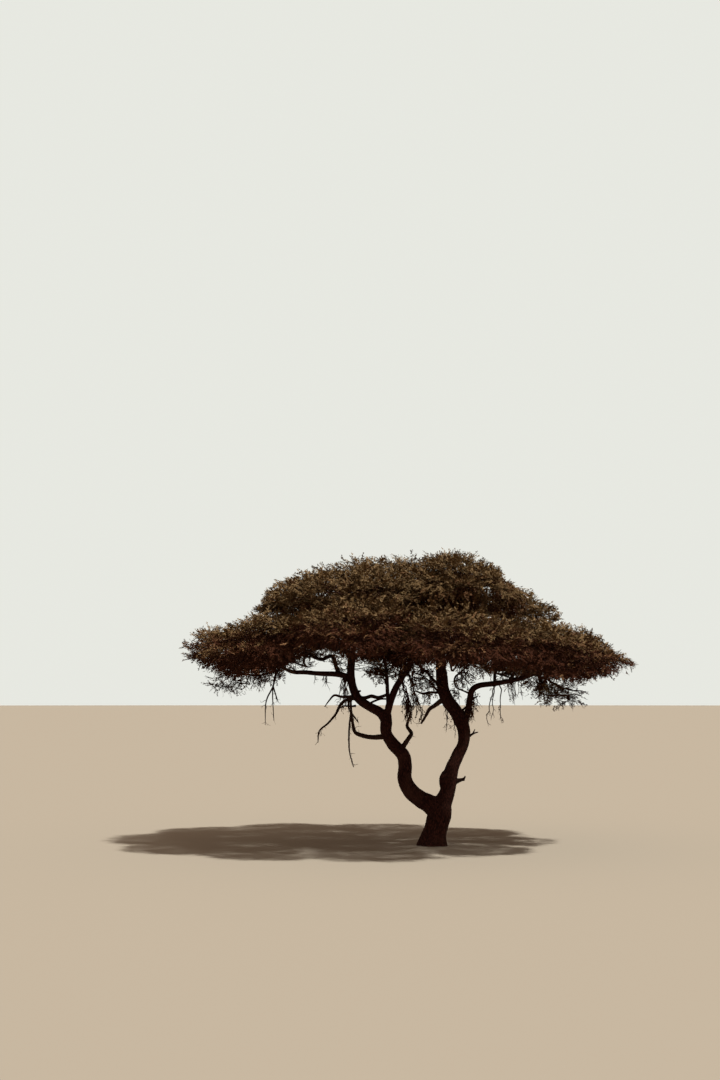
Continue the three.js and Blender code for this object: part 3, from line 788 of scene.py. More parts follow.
BARK = BarkFinish(
    "acacia_bark", (0.008, 0.0015, 0.001), (0.046, 0.012, 0.008), (0.052, 0.022, 0.015), grain=30, bump=0.006
)
SLIGHT_BARK = BarkFinish(
    "bough_bark", (0.007, 0.002, 0.001), (0.032, 0.011, 0.007), (0.040, 0.020, 0.013), grain=55, bump=0.003
)
DEAD_WOOD = BarkFinish(
    "dead_wood", (0.012, 0.005, 0.003), (0.050, 0.023, 0.016), (0.070, 0.042, 0.031), grain=70, bump=0.002
)


class LeafTint(Enum):
    """The colours that are dealt out to sprays of leaves, from the lightest to the darkest, then dry. In the
    crown and the sprigs the first four are painted light and shade: lit and shaded copies of the leaves'
    olive-brown, dealt out by how much sun a spray is taken to get, so sunlit is a painted highlight and
    shaded a painted shade. Among the hanging dead leaves the darker ones are dealt at random, as those
    leaves' own colours, and dry is the leaves' own colour everywhere.
    """

    SUNLIT = PlainFinish("leaf_sunlit_khaki", (0.142, 0.095, 0.046), 0.6)
    OLIVE = PlainFinish("leaf_olive", (0.114, 0.074, 0.034), 0.65)
    UMBER = PlainFinish("leaf_umber_olive", (0.075, 0.038, 0.017), 0.7)
    SHADED = PlainFinish("leaf_shaded", (0.038, 0.012, 0.005), 0.75)
    DRY = PlainFinish("leaf_dry_straw", (0.140, 0.078, 0.038), 0.75)


TWIG_FINISHES = (
    PlainFinish("twig_bark", (0.028, 0.010, 0.007), 0.85),
    PlainFinish("twig_grey", (0.046, 0.023, 0.016), 0.85),
)
# The numbers of the tints and of the twigs' finishes, where a line deals them out.
DARKEST, DRY = 3, 4
LIVE_TWIG, BARE_TWIG = 0, 1


@dataclass
class FoliageFinishes:
    """The materials that all leaves and twigs share."""

    leaves: Materials = field(default_factory=lambda: [tint.value.material() for tint in LeafTint])
    twigs: Materials = field(default_factory=lambda: [finish.material() for finish in TWIG_FINISHES])


# Trunk, boughs and snags

# How far apart the stations are that carry the bark's shape, and those that keep the foliage off, in metres.
RELIEF_STEP, CLEARANCE_STEP = 0.02, 0.05


@dataclass(frozen=True)
class RootFlare:
    """The spread of the trunk's foot into low root buttresses, in metres."""

    height: float = 0.4
    spread: float = 0.22
    buttresses: int = 5
    depth: float = 0.11
    turn: float = 0.6

    def at(self, height: float, angle: float) -> float:
        """How many times the trunk's radius the foot is, at a height and an angle round the trunk."""
        low = max(0.0, 1 - max(0.0, height) / self.height) ** 2
        return 1 + low * (self.spread + self.depth * math.cos(self.buttresses * (angle + self.turn)))


@dataclass
class LimbSweep:
    """Sweeps limbs into a bmesh: a round root, extruded ring by ring along the limb and closed at its tip."""

    sides: int
    step: float
    collar: float

    def shape_of(self, curves: Iterable[LimbCurve]) -> BMesh:
        """Sweeps several limbs into a new bmesh.

        Args:
            curves: the limbs' routes.

        Returns:
            The bmesh.
        """
        shape = bmesh.new()
        for curve in curves:
            self.sweep(shape, curve)
        return shape

    def sweep(self, shape: BMesh, curve: LimbCurve) -> None:
        """Adds one limb.

        Args:
            shape: the bmesh that gets it.
            curve: the limb's route.
        """
        count = max(4, math.ceil(curve.length / self.step) + 1)
        shares = np.linspace(0, 1, count)
        along, across, other = curve.frames(count)
        centres, radii = curve.at(shares), curve.radius_at(shares)
        radii = radii * (1 + self.collar * np.exp(-((shares * curve.length) / (1.2 * radii[0])) ** 2))
        rings = np.zeros((count, 4, 4))
        rings[:, :3, :3] = np.stack([across, other, along], axis=2) * radii[:, None, None]
        rings[:, :3, 3] = centres
        rings[:, 3, 3] = 1
        placed = [Matrix(ring) for ring in rings]
        made = bmesh.ops.create_circle(shape, cap_ends=True, segments=self.sides, radius=1, matrix=placed[0])
        end = made["verts"][0].link_faces[0]
        for before, after in pairwise(placed):
            grown = bmesh.ops.extrude_face_region(shape, geom=[end])["geom"]
            ring = [part for part in grown if isinstance(part, bmesh.types.BMVert)]
            end = next(part for part in grown if isinstance(part, bmesh.types.BMFace))
            bmesh.ops.transform(shape, matrix=after @ before.inverted(), verts=ring)


@dataclass(frozen=True)
class BarkRelief:
    """The bark's own shape: furrows that run along a limb, plates between them, and slow lumps, in metres."""

    furrow_share: float = 0.17
    furrow_least: float = 0.016
    stretch: float = 3.4
    depth_share: float = 0.05
    depth_least: float = 0.0012
    depth_most: float = 0.012
    lump_share: float = 0.07
    lump_size: float = 0.22
    fine_share: float = 0.45
    fine_scale: float = 2.3
    contrast: float = 2.1
    roundness: float = 0.7
    sunk: float = 0.75
    grain_stretch: float = 0.3

    def carve(self, mesh: bpy.types.Mesh, stations: Stations) -> None:
        """Moves a mesh's points to the bark's shape, and keeps each point's height and its place on its limb.

        Args:
            mesh: a closed mesh of limbs.
            stations: the limbs' own stations.
        """
        count = len(mesh.vertices)
        points, ways = np.empty(count * 3), np.empty(count * 3)
        mesh.vertices.foreach_get("co", points)
        mesh.vertices.foreach_get("normal", ways)
        points, ways = points.reshape(-1, 3), ways.reshape(-1, 3)
        near = stations.nearest(points)
        offset = points - stations.centres[near]
        ways_there = (stations.across, stations.other, stations.along)
        local = np.stack([(offset * way[near]).sum(1) for way in ways_there], axis=1)
        local[:, 2] += stations.lengths[near]
        radii = stations.radii[near]
        width = np.maximum(self.furrow_least, self.furrow_share * radii)
        scaled = local / np.stack([width, width, width * self.stretch], axis=1)
        relief, lumps = np.empty(count), np.empty(count)
        shift = Vector((9, 4, 1))
        for i in range(count):
            spot = Vector(scaled[i])
            fine = abs(noise.noise(spot * self.fine_scale + shift))
            relief[i] = min(1.0, self.contrast * (abs(noise.noise(spot)) + self.fine_share * fine))
            lumps[i] = noise.noise(Vector(points[i]) / self.lump_size)
        relief **= self.roundness
        depth = np.clip(self.depth_share * radii, self.depth_least, self.depth_most)
        rise = depth * (relief - self.sunk) + self.lump_share * radii * lumps
        mesh.vertices.foreach_set("co", (points + ways * rise[:, None]).ravel())
        kept = mesh.attributes.new("relief", "FLOAT", "POINT")
        kept.data.foreach_set("value", relief.astype(np.float32))
        grain = mesh.attributes.new("grain", "FLOAT_VECTOR", "POINT")
        grain.data.foreach_set("vector", (local * (1, 1, self.grain_stretch)).astype(np.float32).ravel())
        mesh.update()


def finish_limbs(shape: BMesh, name: str) -> Piece:
    """Turns a swept bmesh into an object.

    Args:
        shape: the bmesh, which is freed.
        name: the object's name.

    Returns:
        The object, smooth shaded.
    """
    bmesh.ops.recalc_face_normals(shape, faces=shape.faces)
    mesh = bpy.data.meshes.new(name)
    shape.to_mesh(mesh)
    shape.free()
    mesh.shade_smooth()
    return in_scene(name, mesh)


def ease(shape: BMesh, verts: Iterable[bmesh.types.BMVert], passes: int) -> None:
    """Smooths a part of a bmesh.

    Args:
        shape: the bmesh.
        verts: its vertices that are smoothed.
        passes: how many times.
    """
    for _ in range(passes):
        bmesh.ops.smooth_vert(
            shape, verts=verts, factor=0.5, use_axis_x=True, use_axis_y=True, use_axis_z=True
        )


@dataclass
class Skeleton:
    """Every limb of the tree as a curve, and the masses of foliage that they carry."""

    masses: dict[str, Mass]
    curves: dict[str, LimbCurve] = field(default_factory=dict)
    extras: dict[Group, list[LimbCurve]] = field(default_factory=dict)

    def __post_init__(self) -> None:
        """Lays all the limbs, and tells each mass from which direction its bough reaches it."""
        self.extras = {group: [] for group in Group}
        for name, plan in LIMBS.items():
            route = [[value * MM for value in station] for station in plan.route]
            for station in route:
                station[3] *= plan.slimness
            if plan.mass:
                route.append([*self.masses[plan.mass].foot, min(FEEDER_TIP * MM, route[-1][3])])
            self.curves[name] = LimbCurve(route)
            thick = np.array([1, 1, 1, plan.slimness]) * MM
            self.extras[plan.group] += [LimbCurve(np.array(twig) * thick) for twig in plan.twigs]
        self.extras[Group.SLIGHT] += [LimbCurve(np.array(spur) * MM) for spur in SPURS]
        for number, feeder in enumerate(FEEDERS):
            numbers = SeededNumbers(FEEDER_SEED + FEEDER_SEED_STEP * number)
            route = self.feeder_route(feeder, numbers)
            self.curves[feeder.name] = LimbCurve(route)
        ends = {plan.mass: name for name, plan in LIMBS.items() if plan.mass}
        ends |= {feeder.mass: feeder.name for feeder in FEEDERS}
        for mass, name in ends.items():
            self.masses[mass].entry = self.curves[name].direction_at(1)

    def feeder_route(self, feeder: Feeder, numbers: SeededNumbers) -> list[list[float]]:
        """The route of a bough that rises from another limb to the foot of a mass.

        Args:
            feeder: which limb it rises from, and to which mass.
            numbers: the run of numbers for its sway.

        Returns:
            Five stations, in metres.
        """
        parent, foot = self.curves[feeder.on], self.masses[feeder.mass].foot
        start = parent.at(feeder.share)
        base = min(float(parent.radius_at(feeder.share)) * FEEDER_BASE_SHARE, FEEDER_BASE_MOST * MM)
        way = foot - start
        reach, side = float(np.linalg.norm(way)), unit(np.cross(way, UP))
        points = [start]
        for share, rise in FEEDER_ARCH:
            sway = FEEDER_SWAY * reach * (2 * numbers.next() - 1)
            points.append(start + way * share + UP * FEEDER_RISE * rise * reach + side * sway)
        points.append(foot)
        radii = np.linspace(base, FEEDER_TIP * MM, 5)
        return [[*point, radius] for point, radius in zip(points, radii, strict=True)]

    def of_group(self, group: Group) -> list[LimbCurve]:
        """Gathers the curves of one group, with side twigs and spurs.

        Args:
            group: the group.

        Returns:
            The curves.
        """
        named = [self.curves[name] for name, plan in LIMBS.items() if plan.group is group]
        if group is Group.SLIGHT:
            named += [self.curves[feeder.name] for feeder in FEEDERS]
        return named + self.extras[group]

    def nodes_of(self, group: Group) -> list[str]:
        """Lists the CAD nodes that a group stands for.

        Args:
            group: the group.

        Returns:
            The nodes' names.
        """
        plans = [row for row in LIMBS.items() if row[1].group is group and not row[1].drawn_only]
        named = [node for name, plan in plans for node in plan.nodes or (name,)]
        return named + [feeder.name for feeder in FEEDERS] * (group is Group.SLIGHT)


@dataclass
class HeavyLimbs:
    """Trunk, stems and main boughs as one skin of furrowed bark, whose forks run into each other."""

    skeleton: Skeleton
    sides: int = 24
    step: float = 0.05
    voxel: float = 0.0148
    fork_passes: int = 4
    burl_passes: int = 10
    burl_ease: float = 2.2
    relief: BarkRelief = field(default_factory=BarkRelief)

    def build(self) -> Piece:
        """Builds and dresses the piece.

        Returns:
            The piece, riding on the tree.
        """
        curves = self.skeleton.of_group(Group.HEAVY)
        shape = LimbSweep(self.sides, self.step, collar=0.12).shape_of(curves)
        self.spread_roots(shape)
        burl = bmesh.ops.create_icosphere(shape, subdivisions=3, radius=1)["verts"]
        bmesh.ops.scale(shape, vec=Vector(BURL_REACH) * MM, verts=burl)
        bmesh.ops.translate(shape, vec=Vector(BURL_MIDDLE) * MM, verts=burl)
        swept = finish_limbs(shape, "swept_limbs")
        piece = self.skinned(swept)
        self.relief.carve(piece.data, Stations.of(curves, RELIEF_STEP))
        self.cut_at_ground(piece.data)
        piece.data.materials.append(BARK.material())
        piece.data.shade_smooth()
        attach(piece, "root")
        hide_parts(*self.skeleton.nodes_of(Group.HEAVY))
        return piece

    def spread_roots(self, shape: BMesh) -> None:
        """Spreads the trunk's foot into its root buttresses.

        Args:
            shape: the swept limbs.
        """
        flare, trunk = RootFlare(), self.skeleton.curves["trunk"]
        for vert in shape.verts:
            if vert.co.z < flare.height:
                centre = trunk.places[np.abs(trunk.places[:, 2] - vert.co.z).argmin()]
                out = Vector((vert.co.x - centre[0], vert.co.y - centre[1], 0))
                vert.co += out * (flare.at(vert.co.z, math.atan2(out.y, out.x)) - 1)

    def skinned(self, swept: Piece) -> Piece:
        """Fuses the swept limbs into one skin and eases their forks.

        Args:
            swept: the limbs as they were swept, which are removed.

        Returns:
            The skin.
        """
        remesh = swept.modifiers.new("skin", "REMESH")
        remesh.mode = "VOXEL"
        remesh.voxel_size = self.voxel
        graph = bpy.context.evaluated_depsgraph_get()
        mesh = bpy.data.meshes.new_from_object(swept.evaluated_get(graph))
        bpy.data.objects.remove(swept)
        shape = bmesh.new()
        shape.from_mesh(mesh)
        ease(shape, shape.verts, self.fork_passes)
        middle, near = Vector(BURL_MIDDLE) * MM, self.burl_ease * max(BURL_REACH) * MM
        ease(shape, [vert for vert in shape.verts if (vert.co - middle).length < near], self.burl_passes)
        bpy.data.meshes.remove(mesh)
        return finish_limbs(shape, "trunk_and_boughs")

    @staticmethod
    def cut_at_ground(mesh: bpy.types.Mesh) -> None:
        """Cuts the foot off flat at the ground and closes the cut.

        Args:
            mesh: the skin.
        """
        shape = bmesh.new()
        shape.from_mesh(mesh)
        every = [*shape.verts, *shape.edges, *shape.faces]
        cut = bmesh.ops.bisect_plane(
            shape, geom=every, dist=1e-5, plane_co=(0, 0, 0), plane_no=(0, 0, 1), clear_inner=True
        )
        rim = [part for part in cut["geom_cut"] if isinstance(part, bmesh.types.BMEdge)]
        bmesh.ops.triangle_fill(shape, edges=rim, use_beauty=True)
        bmesh.ops.recalc_face_normals(shape, faces=shape.faces)
        for vert in shape.verts:
            vert.co.z = max(0.0, vert.co.z)
        shape.to_mesh(mesh)
        shape.free()


@dataclass
class SweptLimbs:
    """Slighter boughs, or dead snags, each swept along its own route with bark or bare grain."""

    skeleton: Skeleton
    group: Group
    name: str
    slot: str
    finish: BarkFinish
    relief: BarkRelief
    sides: int = 10
    step: float = 0.035

    def build(self) -> Piece:
        """Builds and dresses the piece.

        Returns:
            The piece, riding on the tree.
        """
        curves = self.skeleton.of_group(self.group)
        piece = finish_limbs(LimbSweep(self.sides, self.step, collar=0.3).shape_of(curves), self.name)
        self.relief.carve(piece.data, Stations.of(curves, RELIEF_STEP))
        piece.data.materials.append(self.finish.material())
        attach(piece, "root")
        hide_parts(*self.skeleton.nodes_of(self.group))
        return piece


# Foliage


class Outline:
    """The crown's upper and lower edge against the sky, as they show from the camera's place."""

    ragged: float = 0.035
    deepest: float = 4.23

    def __init__(self) -> None:
        """Readies the edges, in metres."""
        self.top = np.array(SKYLINE, float).T * MM
        self.underside = np.array(UNDERSIDE, float).T * MM

    @staticmethod
    def seen(points: Array) -> tuple[Array, Array]:
        """How far right and how high points show in the plane of the trunk."""
        nearness = EYE_DISTANCE / (EYE_DISTANCE + points[..., 1])
        return points[..., 0] * nearness, EYE_HEIGHT + (points[..., 2] - EYE_HEIGHT) * nearness

    def below_top(self, points: Array) -> Array:
        """Tells which points show below the upper edge, uneven from tuft to tuft, and aren't too deep.

        Args:
            points: the points.

        Returns:
            True or False for each point.
        """
        across, height = self.seen(points)
        tufts = self.ragged * (np.sin(13 * across) + np.sin(31 * across + 1.3) - 0.2)
        below = height < np.interp(across, *self.top, left=0, right=0) + tufts
        return below & (np.abs(points[..., 1]) < self.deepest)

    def above_underside(self, points: Array) -> Array:
        """Tells which points show above the lower edge, which is uneven too.

        Args:
            points: the points.

        Returns:
            True or False for each point.
        """
        across, height = self.seen(points)
        away = points[..., 1]
        tufts = 1.6 * self.ragged * (np.sin(17 * across + 9 * away) + np.sin(41 * across + 2))
        tufts += 2.2 * self.ragged * np.sin(151 * across + 97 * away + 61 * height)
        return height > np.interp(across, *self.underside) + tufts


@dataclass
class Mass:
    """One mass of foliage: its middle, its three axes, its reach along them, and where its stem starts."""

    name: str
    middle: Array
    axes: Array
    reach: Array
    foot: Array
    twigs: int
    dense: bool
    filled_from: float = -0.1
    entry: Array | None = None

    @property
    def swell(self) -> float:
        """How far its leaves reach, as a share of its own reach."""
        return SWELLS.get(self.name, 1.0)

    def place(self, shares: Array) -> Array:
        """Points that lie these shares of its reach along its axes."""
        return self.middle + (shares * self.reach) @ self.axes

    def shares(self, points: Array) -> Array:
        """Where points lie along its axes, as shares of its reach."""
        return ((points - self.middle) @ self.axes.T) / self.reach

    def depth(self, points: Array) -> Array:
        """How far out of its middle points lie: 1 on its surface."""
        return np.linalg.norm(self.shares(points), axis=-1)

    def outward(self, points: Array) -> Array:
        """The directions straight out of its surface near points."""
        return unit((self.shares(points) / self.reach) @ self.axes)


class Crown:
    """All the masses, which share out the crown between them."""

    def __init__(self) -> None:
        """Places the masses by the source's rule."""
        self.outline = Outline()
        self.masses: dict[str, Mass] = {}
        for ring in RINGS:
            for index in range(ring.count):
                mass = self.ring_mass(ring, index)
                self.masses[mass.name] = mass
        for name, plan in HANGING.items():
            sizes = [np.array(value, float) * MM for value in (plan.middle, plan.reach, plan.foot)]
            self.masses[name] = Mass(name, sizes[0], np.eye(3), sizes[1], sizes[2], plan.twigs, plan.dense)

    @staticmethod
    def ring_mass(ring: Ring, index: int) -> Mass:
        """One mass of a ring.

        Args:
            ring: the ring.
            index: which of its masses, from 0.

        Returns:
            The mass, in metres.
        """
        name = f"{ring.name}_{index + 1}"
        angle = math.radians(ring.turn + index * 360 / ring.count)
        tilt = math.radians(ring.tilt)
        cos_a, sin_a = math.cos(angle), math.sin(angle)
        x = CROWN.middle_x + ring.share * CROWN.half_width * cos_a
        y = ring.share * CROWN.half_depth * sin_a
        sag = CROWN.end_sag * abs(cos_a) * (ring.share / RINGS[0].share) ** 2
        fall = CROWN.drop * ring.share**CROWN.power + CROWN.lean_right * max(0, x) + sag
        reach = np.array(ring.reach) * SIZES.get(name, 1) * MM
        middle = np.array([x * MM, y * MM, (CROWN.top - fall + LIFTS.get(name, 0)) * MM - reach[2]])
        out = np.array([cos_a * math.cos(tilt), sin_a * math.cos(tilt), -math.sin(tilt)])
        across = np.array([-sin_a, cos_a, 0])
        up = np.cross(out, across)
        foot = middle - out * ring.foot_back * reach[0] - up * 0.8 * reach[2]
        return Mass(name, middle, np.array([out, across, up]), reach, foot, 13, True, ring.filled_from)

    @staticmethod
    def under_dome(points: Array, depth: float) -> Array:
        """Tells which points lie under the dome over the whole crown.

        Args:
            points: the points.
            depth: how far under it they have to be, in metres.

        Returns:
            True or False for each point.
        """
        x = (points[..., 0] - CROWN.middle_x * MM) / (CROWN.half_width * MM)
        y = points[..., 1] / (CROWN.half_depth * MM)
        share = np.maximum(np.hypot(x, y), 0.01)
        sag = CROWN.end_sag * np.abs(x) / share * (share / RINGS[0].share) ** 2
        lean = CROWN.lean_right * np.maximum(0, points[..., 0] / MM)
        fall = CROWN.drop * share**CROWN.power + sag + lean
        return (points[..., 2] < (CROWN.top - fall) * MM - depth) & (share < 0.96)

    def in_cell(self, mass: Mass, points: Array, margin: float) -> Array:
        """Whether points lie in a mass's own cell.

        Args:
            mass: the mass.
            points: the points.
            margin: how far past the border with each other mass they have to be, in metres.

        Returns:
            True or False for each point.
        """
        scale = np.array([1, 1, CELL_HEIGHT_SCALE])
        here, own = points * scale, mass.middle * scale
        rank = ((here - own) ** 2).sum(-1) - (CELL_WEIGHT * mass.reach[0]) ** 2
        inside = np.ones(points.shape[:-1], bool)
        for other in self.masses.values():
            if other is not mass:
                far = other.middle * scale
                theirs = ((here - far) ** 2).sum(-1) - (CELL_WEIGHT * other.reach[0]) ** 2
                inside &= (theirs - rank) / (2 * np.linalg.norm(own - far)) > margin
        return inside


@dataclass(frozen=True)
class SprayShape:
    """A feathery spray: leaves in pairs along a thin stalk, in metres."""

    length: float = 0.138
    pairs: int = 3
    leaf_length: float = 0.062
    leaf_share: float = 0.48
    spread: float = 0.64
    fold: float = 0.22
    stalk: float = 0.0028

    def leaves(
        self, roots: Array, ways: Array, faces_up: Array, sizes: Array, rng: Random
    ) -> tuple[Array, Array, int]:
        """The leaves and stalks of many sprays at once.

        Args:
            roots: where each spray starts.
            ways: the direction of each spray.
            faces_up: the direction that each spray's upper side faces.
            sizes: each spray's size, 1 for a full one.
            rng: the run of numbers.

        Returns:
            The corners, the triangles, and how many triangles one spray has.
        """
        count = len(roots)
        sides = unit(np.cross(ways, faces_up))
        tops = np.cross(sides, ways)
        shares = np.concatenate([np.repeat(np.linspace(0.16, 0.86, self.pairs), 2), [0.97]])
        turns = np.concatenate([np.tile([self.spread, -self.spread], self.pairs), [0.0]])
        blades = len(shares)
        turns = turns + rng.normal(0, 0.18, (count, blades))
        lift = rng.normal(0.1, 0.28, (count, blades))
        sizes_each = sizes[:, None] * rng.uniform(0.75, 1.2, (count, blades)) * (1.08 - 0.45 * shares)
        bend = rng.uniform(-0.35, 0.5, (count, 1)) * tops + rng.uniform(-0.5, 0.5, (count, 1)) * sides
        reach = (self.length * sizes)[:, None] * shares
        base = roots[:, None] + reach[..., None] * ways[:, None] + (reach * shares)[..., None] * bend[:, None]
        way = unit(
            ways[:, None] * np.cos(turns)[..., None]
            + sides[:, None] * np.sin(turns)[..., None]
            + tops[:, None] * lift[..., None]
            + bend[:, None] * shares[:, None]
        )
        across = unit(np.cross(way, tops[:, None] + rng.normal(0, 0.3, (count, blades, 3))))
        over = np.cross(across, way)
        long = (self.leaf_length * sizes_each)[..., None]
        wide = long * self.leaf_share * 0.5
        belly = base + way * long * 0.45 + over * wide * self.fold * 2
        corners = np.stack([base, belly + across * wide, base + way * long, belly - across * wide], axis=2)
        tip = roots + (ways + bend) * (self.length * sizes)[:, None]
        middle = roots + (ways + bend / 2) * (self.length * sizes * 0.5)[:, None]
        thick = self.stalk * sizes[:, None]
        stalks = np.stack([roots, middle + sides * thick, tip, middle - sides * thick], axis=1)
        kites = np.concatenate([corners, stalks[:, None]], axis=1).reshape(-1, 3)
        first = np.arange(0, len(kites), 4)[:, None]
        faces = np.stack([first + [0, 1, 2], first + [0, 2, 3]], axis=1).reshape(-1, 3)
        return kites, faces, 2 * (blades + 1)


# Below the crown single leaves show against the sky, so there the sprays and their leaves are smaller.
LOOSE_SPRAY = SprayShape(length=0.11, leaf_length=0.052, leaf_share=0.5)
LOOSE_BRANCHLET_RADII = (0.0055, 0.003)


@dataclass(frozen=True)
class Habit:
    """How closely twigs are set with clumps, branchlets and sprays, in metres where it is a length."""

    clumps: int
    spacing: Span
    branchlets: int
    sprays: int
    branchlet_length: Span
    inset: float
    spray_size: float
    bare_twigs: int


class Density(Enum):
    """How closely a mass, or a set of sprigs, is grown."""

    UPPER = Habit(140, (0.16, 0.2), 10, 5, (0.18, 0.36), 0.25, 1.0, 14)
    LOWER = Habit(120, (0.175, 0.215), 10, 4, (0.18, 0.36), 0.27, 1.0, 16)
    OPEN = Habit(24, (0.15, 0.15), 6, 3, (0.15, 0.32), 0.2, 0.9, 14)
    SPRIG = Habit(0, (0.0, 0.0), 7, 3, (0.08, 0.22), 0.0, 1.0, 0)

    @classmethod
    def of(cls, mass: Mass) -> Density:
        """Finds the density of a mass: closer high up and behind the right end, open where it hangs below.

        Args:
            mass: the mass.

        Returns:
            Its density.
        """
        if not mass.dense:
            return cls.OPEN
        low = mass.name.startswith(("outer", "lower")) and mass.name != "outer_2"
        return cls.LOWER if low else cls.UPPER


@dataclass(kw_only=True)
class Growth:
    """Twigs that fork into branchlets with sprays of leaves: what the masses and the single sprigs share."""

    outline: Outline
    stations: Stations
    seed: int
    habit: Habit
    spray: SprayShape = field(default_factory=SprayShape)
    branchlet_radii: Span = (0.0032, 0.0018)
    lean: Place = (0.65, 0.65, 0.3)
    flatness: Place = (1.0, 1.0, 0.28)
    fringe: float = 0.09
    limb_gap: float = 0.012
    # How much light a spray is taken to get before it is painted in each lighter tint.
    tint_steps: Place = (0.06, 0.28, 0.66)
    dry_share: float = 0.03

    def __post_init__(self) -> None:
        """Readies the seeded numbers and the two piles."""
        self.rng = np.random.default_rng(self.seed)
        self.twigs = Pile()
        self.leaves = Pile()

    def fits(self, points: Array, depth: float | Array = 1.0) -> Array:
        """Tells which points show below the skyline and are clear of limbs.

        Args:
            points: the points.
            depth: how far out of a mass they may lie, which has no use here.

        Returns:
            True or False for each point.
        """
        good = self.outline.below_top(points)
        if len(self.stations.centres):
            good &= self.stations.clearance(points) > self.limb_gap
        return good

    def wander(self, starts: Array, ends: Array, steps: int, arch: float, sway: float) -> Array:
        """Crooked paths between points.

        Args:
            starts: where each path starts.
            ends: where each path ends.
            steps: how many points each has.
            arch: how far it rises at its middle, as a share of its length.
            sway: how far it strays, as a share of its length.

        Returns:
            The points of every path.
        """
        share = np.linspace(0, 1, steps)[None, :, None]
        way = ends - starts
        reach = np.linalg.norm(way, axis=1)[:, None, None]
        bell = 4 * share * (1 - share)
        stray = self.rng.normal(0, sway, (len(starts), steps, 3)) * np.minimum(1, bell * 1.5)
        return starts[:, None] + way[:, None] * share + (UP * arch * bell + stray) * reach

    def branchlets(self, shoots: Array, grow: Array) -> tuple[Array, Array]:
        """Fans branchlets out of each twig's outer part. They droop where the clump grows downwards.

        Args:
            shoots: the twigs.
            grow: the direction in which each clump grows.

        Returns:
            The points of each branchlet, and the number of its clump.
        """
        each = self.habit.branchlets
        clump = np.repeat(np.arange(len(shoots)), each)
        spot = self.rng.uniform(0.5, 1.0, len(clump)) * (shoots.shape[1] - 1)
        low = np.minimum(spot.astype(int), shoots.shape[1] - 2)
        part = (spot - low)[:, None]
        starts = shoots[clump, low] * (1 - part) + shoots[clump, low + 1] * part
        fan = even_directions(each)[None].repeat(len(shoots), 0).reshape(-1, 3)
        fan = fan + self.rng.normal(0, 0.25, fan.shape)
        way = unit(grow[clump] * self.lean + unit(fan) * self.flatness)
        long = self.rng.uniform(*self.habit.branchlet_length, len(clump))
        droop = smooth_step(0.25, -0.5, grow[clump, 2])
        bend = ((0.05 - 0.33 * droop) * long)[:, None] * UP
        ends = starts + way * long[:, None] + bend
        middles = (starts + ends) / 2 - bend * 0.7 + self.rng.normal(0, 0.012, starts.shape)
        good = self.fits(ends, 1.0 + self.fringe * droop)
        good &= self.fits(middles, 1.0 + 0.5 * self.fringe * droop)
        paths = np.stack([starts, middles, ends], axis=1)[good]
        self.twigs.add_tapers(paths, self.branchlet_radii, 3)
        return paths, clump[good]

    def sprays(self, paths: Array, clump: Array, grow: Array) -> None:
        """Sets sprays of leaves along the branchlets and deals out their colours.

        Args:
            paths: the branchlets.
            clump: the number of each branchlet's clump.
            grow: the direction in which each clump grows.
        """
        each = self.habit.sprays
        which = np.repeat(np.arange(len(paths)), each)
        order = np.tile(np.arange(each), len(paths))
        share = (0.35 + 0.62 * order / (each - 1) + self.rng.normal(0, 0.04, len(which))).clip(0.2, 1)
        low = (share * 2).astype(int).clip(0, 1)
        part = (share * 2 - low)[:, None]
        roots = paths[which, low] * (1 - part) + paths[which, low + 1] * part
        along = unit(paths[which, low + 1] - paths[which, low])
        across = unit(np.cross(along, UP + self.rng.normal(0, 0.35, along.shape)))
        turn = np.where(order % 2 == 0, 1, -1) * self.rng.uniform(0.25, 0.85, len(which))
        turn[order == each - 1] *= 0.25
        droop = smooth_step(0.25, -0.5, grow[clump[which], 2])
        rise = 0.07 - 0.5 * droop + self.rng.normal(0, 0.11, len(which))
        flat = along * [1, 1, 0.45]
        ways = unit(flat * np.cos(turn)[:, None] + across * np.sin(turn)[:, None] + UP * rise[:, None])
        sizes = self.habit.spray_size * self.rng.uniform(0.7, 1.2, len(which))
        reach = np.where(self.rng.random(len(which)) < 0.16, 1.05, 0.995) + self.fringe * droop
        for _ in range(3):
            astray = ~self.fits(roots + ways * (self.spray.length * sizes * 1.25)[:, None], reach)
            sizes[astray] *= 0.78
        good = self.fits(roots, 1.0 + self.fringe * droop) & ~astray
        roots, ways, sizes = roots[good], ways[good], sizes[good]
        face = unit(UP + 0.65 * self.facing(roots) + self.rng.normal(0, 0.28, roots.shape))
        corners, faces, per_spray = self.spray.leaves(roots, ways, face, sizes, self.rng)
        self.leaves.add(corners, faces, np.repeat(self.tints(roots, which[good], clump), per_spray))

    def facing(self, roots: Array) -> Array:
        """The way to which sprays lean besides up: none here."""
        return np.zeros_like(roots)

    def light(self, roots: Array) -> Array:
        """How much in the light sprays are, for their painted light and shade, from about -1 to 1: rather
        little here, so sprigs mostly get the darker painted tints.
        """
        return np.full(len(roots), 0.05)

    def tints(self, roots: Array, branchlet: Array, clump: Array) -> Array:
        """Deals a colour to each spray as painted light and shade: paler high and far out, where sun is taken
        to fall, darker low and deep, where shade is taken to fall, with random differences by clump and
        branchlet, and some dry anywhere.

        Args:
            roots: where the sprays start.
            branchlet: the number of each spray's branchlet, whose sprays are alike.
            clump: the number of each branchlet's clump, whose branchlets are rather alike.

        Returns:
            The number of each spray's tint.
        """
        alike = self.rng.normal(0, 0.13, clump.max(initial=0) + 1)[clump]
        alike += self.rng.normal(0, 0.09, len(clump))
        light = self.light(roots) + alike[branchlet] + self.rng.normal(0, 0.05, len(roots))
        tint = DARKEST - np.searchsorted(self.tint_steps, light)
        tint[self.rng.random(len(roots)) < self.dry_share] = DRY
        return tint

